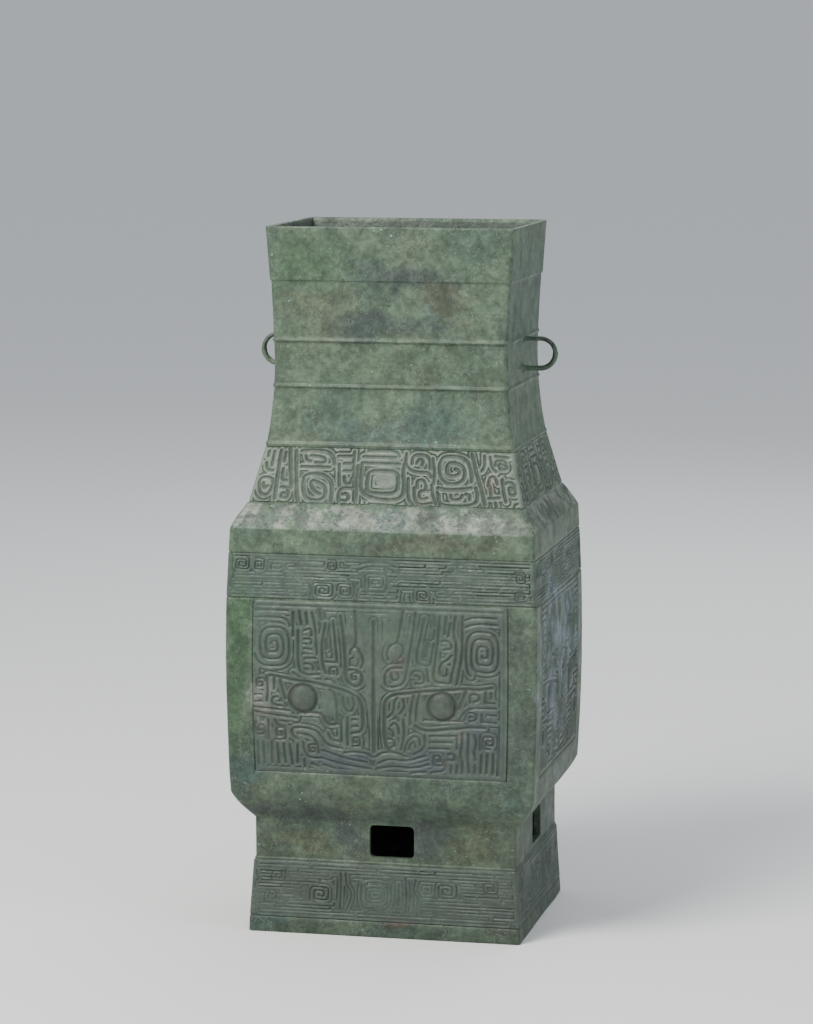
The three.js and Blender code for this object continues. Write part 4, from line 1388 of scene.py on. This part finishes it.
def outer_rows():
    rows = [(0.0, -0.9 * MM, "plain"), (0.25 * MM, -0.3 * MM, "plain")]
    rows += plain(0.8 * MM, FOOT["base"] - 1.0 * MM, 2.0 * MM)
    rows += bedded(FOOT)[:-1]
    rows += plain(FOOT_TOP - 0.6 * MM, FOOT_TOP + 0.6 * MM, 0.3 * MM)
    rows += plain(FOOT_TOP + 0.6 * MM, BELLY_CURVE_TOP + 2 * MM, 1.9 * MM)
    rows += plain(BELLY_CURVE_TOP + 2 * MM, MASK["base"] - 1.0 * MM, 2.4 * MM)
    rows += [(MASK["base"] - 0.8 * MM, 0, "plain"), (MASK["base"], -BORDER_DEPTH, "border")]
    rows += [(z, -BED, "bed") for z in steps(MASK["base"] + 0.6 * MM, MASK["top"] - 0.6 * MM, 3.4 * MM)]
    rows += [(MASK["top"] - 0.6 * MM, -BED, "bed"), (MASK["top"], -BORDER_DEPTH, "border")]
    rows += bedded(BELLY)[1:]
    rows += plain(BELLY["top"] + 2.4 * MM, ARRIS - 2 * MM, 2.4 * MM)
    rows += plain(ARRIS - 2 * MM, ARRIS - 0.7 * MM, 0.65 * MM)
    rows += plain(ARRIS - 0.7 * MM, ARRIS + 0.7 * MM, 0.2 * MM)
    rows += plain(ARRIS + 0.7 * MM, ARRIS + 2 * MM, 0.65 * MM)
    rows += plain(ARRIS + 2 * MM, SHOULDER["base"] - 1.0 * MM, 2.0 * MM)
    rows += bedded(SHOULDER)[:-1]
    rows += neck_rows()
    for z in np.linspace(BAND_BASE - 0.5 * MM, BAND_BASE + 0.7 * MM, 5):
        share = (z - BAND_BASE + 0.5 * MM) / (1.2 * MM)
        rows.append((z, BAND_RELIEF * (3 * share**2 - 2 * share**3), "plain"))
    rows += plain(BAND_BASE + 1.6 * MM, HEIGHT - LIP, 2.6 * MM, BAND_RELIEF)
    return rows


def lip_rows():
    turns = np.linspace(0, math.pi, 9)
    middle = (BAND_RELIEF - LIP_WALL) / 2
    half = (BAND_RELIEF + LIP_WALL) / 2
    return [
        (HEIGHT - LIP + LIP * math.sin(turn), middle + half * math.cos(turn), "plain") for turn in turns
    ]


def inner_rows():
    """Down the inside: the lip thickens to the wall, and the wall runs down to a rounded heel."""
    shares = np.linspace(0, 1, 5)[1:]
    rows = [
        (HEIGHT - LIP - LIP_TAPER * share, -LIP_WALL - (WALL - LIP_WALL) * share, "plain")
        for share in shares
    ]
    rows += plain(HEIGHT - LIP - LIP_TAPER - 6 * MM, FLOOR_TOP + 4 * MM, 9 * MM, -WALL)
    heel = [(2.4, 0.2), (0.8, 1.1), (0.0, 2.8)]
    return rows + [(FLOOR_TOP + lift * MM, -WALL - inset * MM, "plain") for lift, inset in heel]


def hollow_rows():
    """Down the inside of the foot, from its ceiling to its rim."""
    rows = plain(FLOOR_UNDERSIDE, FLOOR_UNDERSIDE - 3 * MM, 3 * MM, -FOOT_WALL)
    rows += plain(BELLY_BASE - 1 * MM, FOOT_TOP + 1 * MM, 4 * MM, -FOOT_WALL)
    rows += plain(FOOT_TOP - 2 * MM, 1 * MM, 7 * MM, -FOOT_WALL)
    return rows + [(0.3 * MM, -FOOT_WALL + 0.3 * MM, "plain"), (0.0, -FOOT_WALL + 0.9 * MM, "plain")]


# %% Make the skin
def skin_shares(side):
    """Shares of a face's half width for the skin's columns, with close pairs at the panel's edge."""
    reach = outline((MASK["base"] + MASK["top"]) / 2)[side]
    edge = (reach - MASK["margin"]) / (reach - CORNER)
    close = 0.6 * MM / (reach - CORNER)
    inside = np.linspace(-(edge - close), edge - close, int(2 * (edge - close) * reach / (3.2 * MM)))
    outside = np.linspace(edge + close, 1, int((1 - edge) * reach / (2.4 * MM)))
    shares = np.concatenate([-outside[::-1], [-edge], inside, [edge], outside])
    return shares, edge


front_shares, front_edge = skin_shares(0)
side_shares, side_edge = skin_shares(1)
skin_columns = ring_columns(front_shares, side_shares, 7)
edges = np.where(skin_columns["side"] % 2 == 0, front_edge, side_edge)
inside_panel = (np.abs(skin_columns["share"]) < edges - 1e-6) & (skin_columns["bend"] == 0)
on_border = (np.abs(np.abs(skin_columns["share"]) - edges) < 1e-6) & (skin_columns["bend"] == 0)
skin_rows = hollow_rows() + outer_rows() + lip_rows() + inner_rows()
skin_heights = np.array([row[0] for row in skin_rows])
skin_push = np.repeat(np.array([row[1] for row in skin_rows])[:, None], len(edges), 1)
LINE_STRENGTH = np.array([1.0, 0.55, 1.0, 0.55])
ahead = (skin_columns["side"] + 1) % 4
strength = LINE_STRENGTH[skin_columns["side"]] * (1 - skin_columns["bend"])
strength += LINE_STRENGTH[ahead] * skin_columns["bend"]
for index, (z, push, kind) in enumerate(skin_rows):
    if kind == "line":
        skin_push[index] = push * strength
    if kind == "bed":
        skin_push[index] = np.where(inside_panel, push, np.where(on_border, -BORDER_DEPTH, 0))
    if kind == "border":
        skin_push[index] = np.where(inside_panel | on_border, push, 0)
traced_heights = np.where(skin_heights < 0.01 * MM, 0.01 * MM, skin_heights)
plain_places = wrapped(skin_columns, traced_heights, skin_heights, np.zeros_like(skin_push))
skin_waves = casting_waves(plain_places.reshape(-1, 3)).reshape(skin_push.shape)
skin_places = wrapped(skin_columns, traced_heights, skin_heights, skin_push + skin_waves)
# Painted shade: the inner faces of the foot and of the body get a share that the material darkens with the
# soil tone.
inside_painted_shade = np.zeros_like(skin_push)
inside_painted_shade[: len(hollow_rows())] = 0.6
inside_painted_shade[-len(inner_rows()) :] = 0.75
skin_mesh = closed(moved_grid("vessel_skin", skin_places, inside_painted_shade, with_map=False))


def capped(mesh):
    """Fills the floor and the foot's ceiling."""
    shape = bmesh.new()
    shape.from_mesh(mesh)
    bmesh.ops.holes_fill(shape, edges=[edge for edge in shape.edges if edge.is_boundary], sides=0)
    bmesh.ops.recalc_face_normals(shape, faces=shape.faces)
    shape.to_mesh(mesh)
    shape.free()
    return mesh


capped(skin_mesh)

# %% [markdown]
# ## The windows
#
# Four windows pierce the foot, where the founders' core was held. They are cut from the finished
# skin with a rounded bar for each, as the opening left by a clay core runs straight through.

# %% Cut the windows
WINDOW = {"width": 27 * MM, "height": 19.5 * MM, "base": 47.8 * MM, "radius": 3 * MM}
WINDOW_SHIFTS = (4.4 * MM, 1.3 * MM, 0.0, 0.0)


def window_bar(side, shift):
    """A bar with rounded long edges that passes through one wall of the foot."""
    shape = bmesh.new()
    bmesh.ops.create_cube(shape, size=1)
    bmesh.ops.scale(shape, vec=(WINDOW["width"], 14 * MM, WINDOW["height"]), verts=shape.verts)
    long_edges = [edge for edge in shape.edges if abs((edge.verts[0].co - edge.verts[1].co).y) > 1 * MM]
    rounding = {"offset": WINDOW["radius"], "segments": 6, "profile": 0.5, "material": -1}
    bmesh.ops.bevel(shape, geom=long_edges, affect="EDGES", **rounding)
    reach = outline(WINDOW["base"] + WINDOW["height"] / 2)[1 - side % 2]
    place = Vector((shift, -(reach - FOOT_WALL / 2), WINDOW["base"] + WINDOW["height"] / 2))
    bmesh.ops.translate(shape, vec=place, verts=shape.verts)
    turn = Matrix.Rotation(math.pi / 2 * side, 3, "Z")
    bmesh.ops.rotate(shape, cent=(0, 0, 0), matrix=turn, verts=shape.verts)
    return shape


def cut_windows(mesh):
    bars = bmesh.new()
    for side, shift in enumerate(WINDOW_SHIFTS):
        bar = window_bar(side, shift)
        loose = bpy.data.meshes.new("bar")
        bar.to_mesh(loose)
        bar.free()
        bars.from_mesh(loose)
        bpy.data.meshes.remove(loose)
    bar_mesh = bpy.data.meshes.new("bars")
    bars.to_mesh(bar_mesh)
    bars.free()
    body = bpy.data.objects.new("body", mesh)
    cutter = bpy.data.objects.new("cutter", bar_mesh)
    for item in (body, cutter):
        bpy.context.scene.collection.objects.link(item)
    cut = body.modifiers.new("windows", "BOOLEAN")
    cut.operation, cut.solver, cut.object = "DIFFERENCE", "EXACT", cutter
    bpy.context.view_layer.update()
    finished = bpy.data.meshes.new_from_object(body.evaluated_get(bpy.context.evaluated_depsgraph_get()))
    bpy.data.objects.remove(body)
    bpy.data.objects.remove(cutter)
    return finished


place_piece("vessel_body", cut_windows(skin_mesh), plain_bronze)

# %% [markdown]
# ## The ring lugs
#
# A thin D-shaped ring is cast on to each side of the neck, for a cord that tied down the lid. It is
# a circle drawn straight out, spun through half a turn and drawn back in, then thickened at its
# roots, where the bronze ran on to the wall.

# %% Make the lugs
LUG = {"bar": 3.0 * MM, "height": 20.6 * MM, "reach": 20.8 * MM, "centre": 343.4 * MM, "rooting": 1.6 * MM}
LUG_FLATNESS = 1.4
LUG_STEPS = 8


def drawn_along(shape, loop, reach):
    """Draws a ring of edges out along X in even steps, and gives the last ring."""
    for _ in range(LUG_STEPS):
        made = bmesh.ops.extrude_edge_only(shape, edges=loop)["geom"]
        points = [item for item in made if isinstance(item, bmesh.types.BMVert)]
        loop = [item for item in made if isinstance(item, bmesh.types.BMEdge)]
        bmesh.ops.translate(shape, vec=(reach / LUG_STEPS, 0, 0), verts=points)
    return loop


def lug_mesh(name, direction):
    """A ring drawn straight out from the wall, round and back in, and thickened at its roots."""
    bend = (LUG["height"] - LUG["bar"]) / 2
    wall_at = outline(LUG["centre"])[0]
    root = wall_at - LUG["rooting"]
    bend_at = wall_at + LUG["reach"] - LUG["bar"] / 2 - bend
    shape = bmesh.new()
    turn = Matrix.Translation((root, 0, LUG["centre"] + bend)) @ Matrix.Rotation(math.pi / 2, 4, "Y")
    ring = bmesh.ops.create_circle(shape, segments=14, radius=LUG["bar"] / 2, matrix=turn)["verts"]
    loop = list({edge for point in ring for edge in point.link_edges})
    loop = drawn_along(shape, loop, bend_at - root)
    spun = bmesh.ops.spin(
        shape, geom=loop, cent=(bend_at, 0, LUG["centre"]), axis=(0, 1, 0), angle=math.pi, steps=22
    )["geom_last"]
    loop = [item for item in spun if isinstance(item, bmesh.types.BMEdge)]
    drawn_along(shape, loop, root - bend_at)
    bmesh.ops.holes_fill(shape, edges=[edge for edge in shape.edges if edge.is_boundary], sides=0)
    for point in shape.verts:
        straight = point.co.x < bend_at
        sign = 1 if point.co.z > LUG["centre"] else -1
        away = Vector((point.co.x - bend_at, 0, point.co.z - LUG["centre"]))
        middle = Vector((bend_at, 0, LUG["centre"])) + away.normalized() * bend
        if straight:
            middle = Vector((point.co.x, 0, LUG["centre"] + sign * bend))
        from_wall = max(point.co.x - wall_at, 0)
        swell = 1 + 0.7 * math.exp(-from_wall / (1.3 * MM)) - 0.08 * sign
        point.co = middle + (point.co - middle) * swell
        point.co.y *= LUG_FLATNESS
        point.co.x *= direction
    bmesh.ops.recalc_face_normals(shape, faces=shape.faces)
    mesh = bpy.data.meshes.new(name)
    shape.to_mesh(mesh)
    shape.free()
    mesh.attributes.new("carved_and_shaded", "FLOAT", "POINT")
    return mesh


for name, direction in (("lug_right", 1), ("lug_left", -1)):
    place_piece(name, lug_mesh(name, direction), plain_bronze)
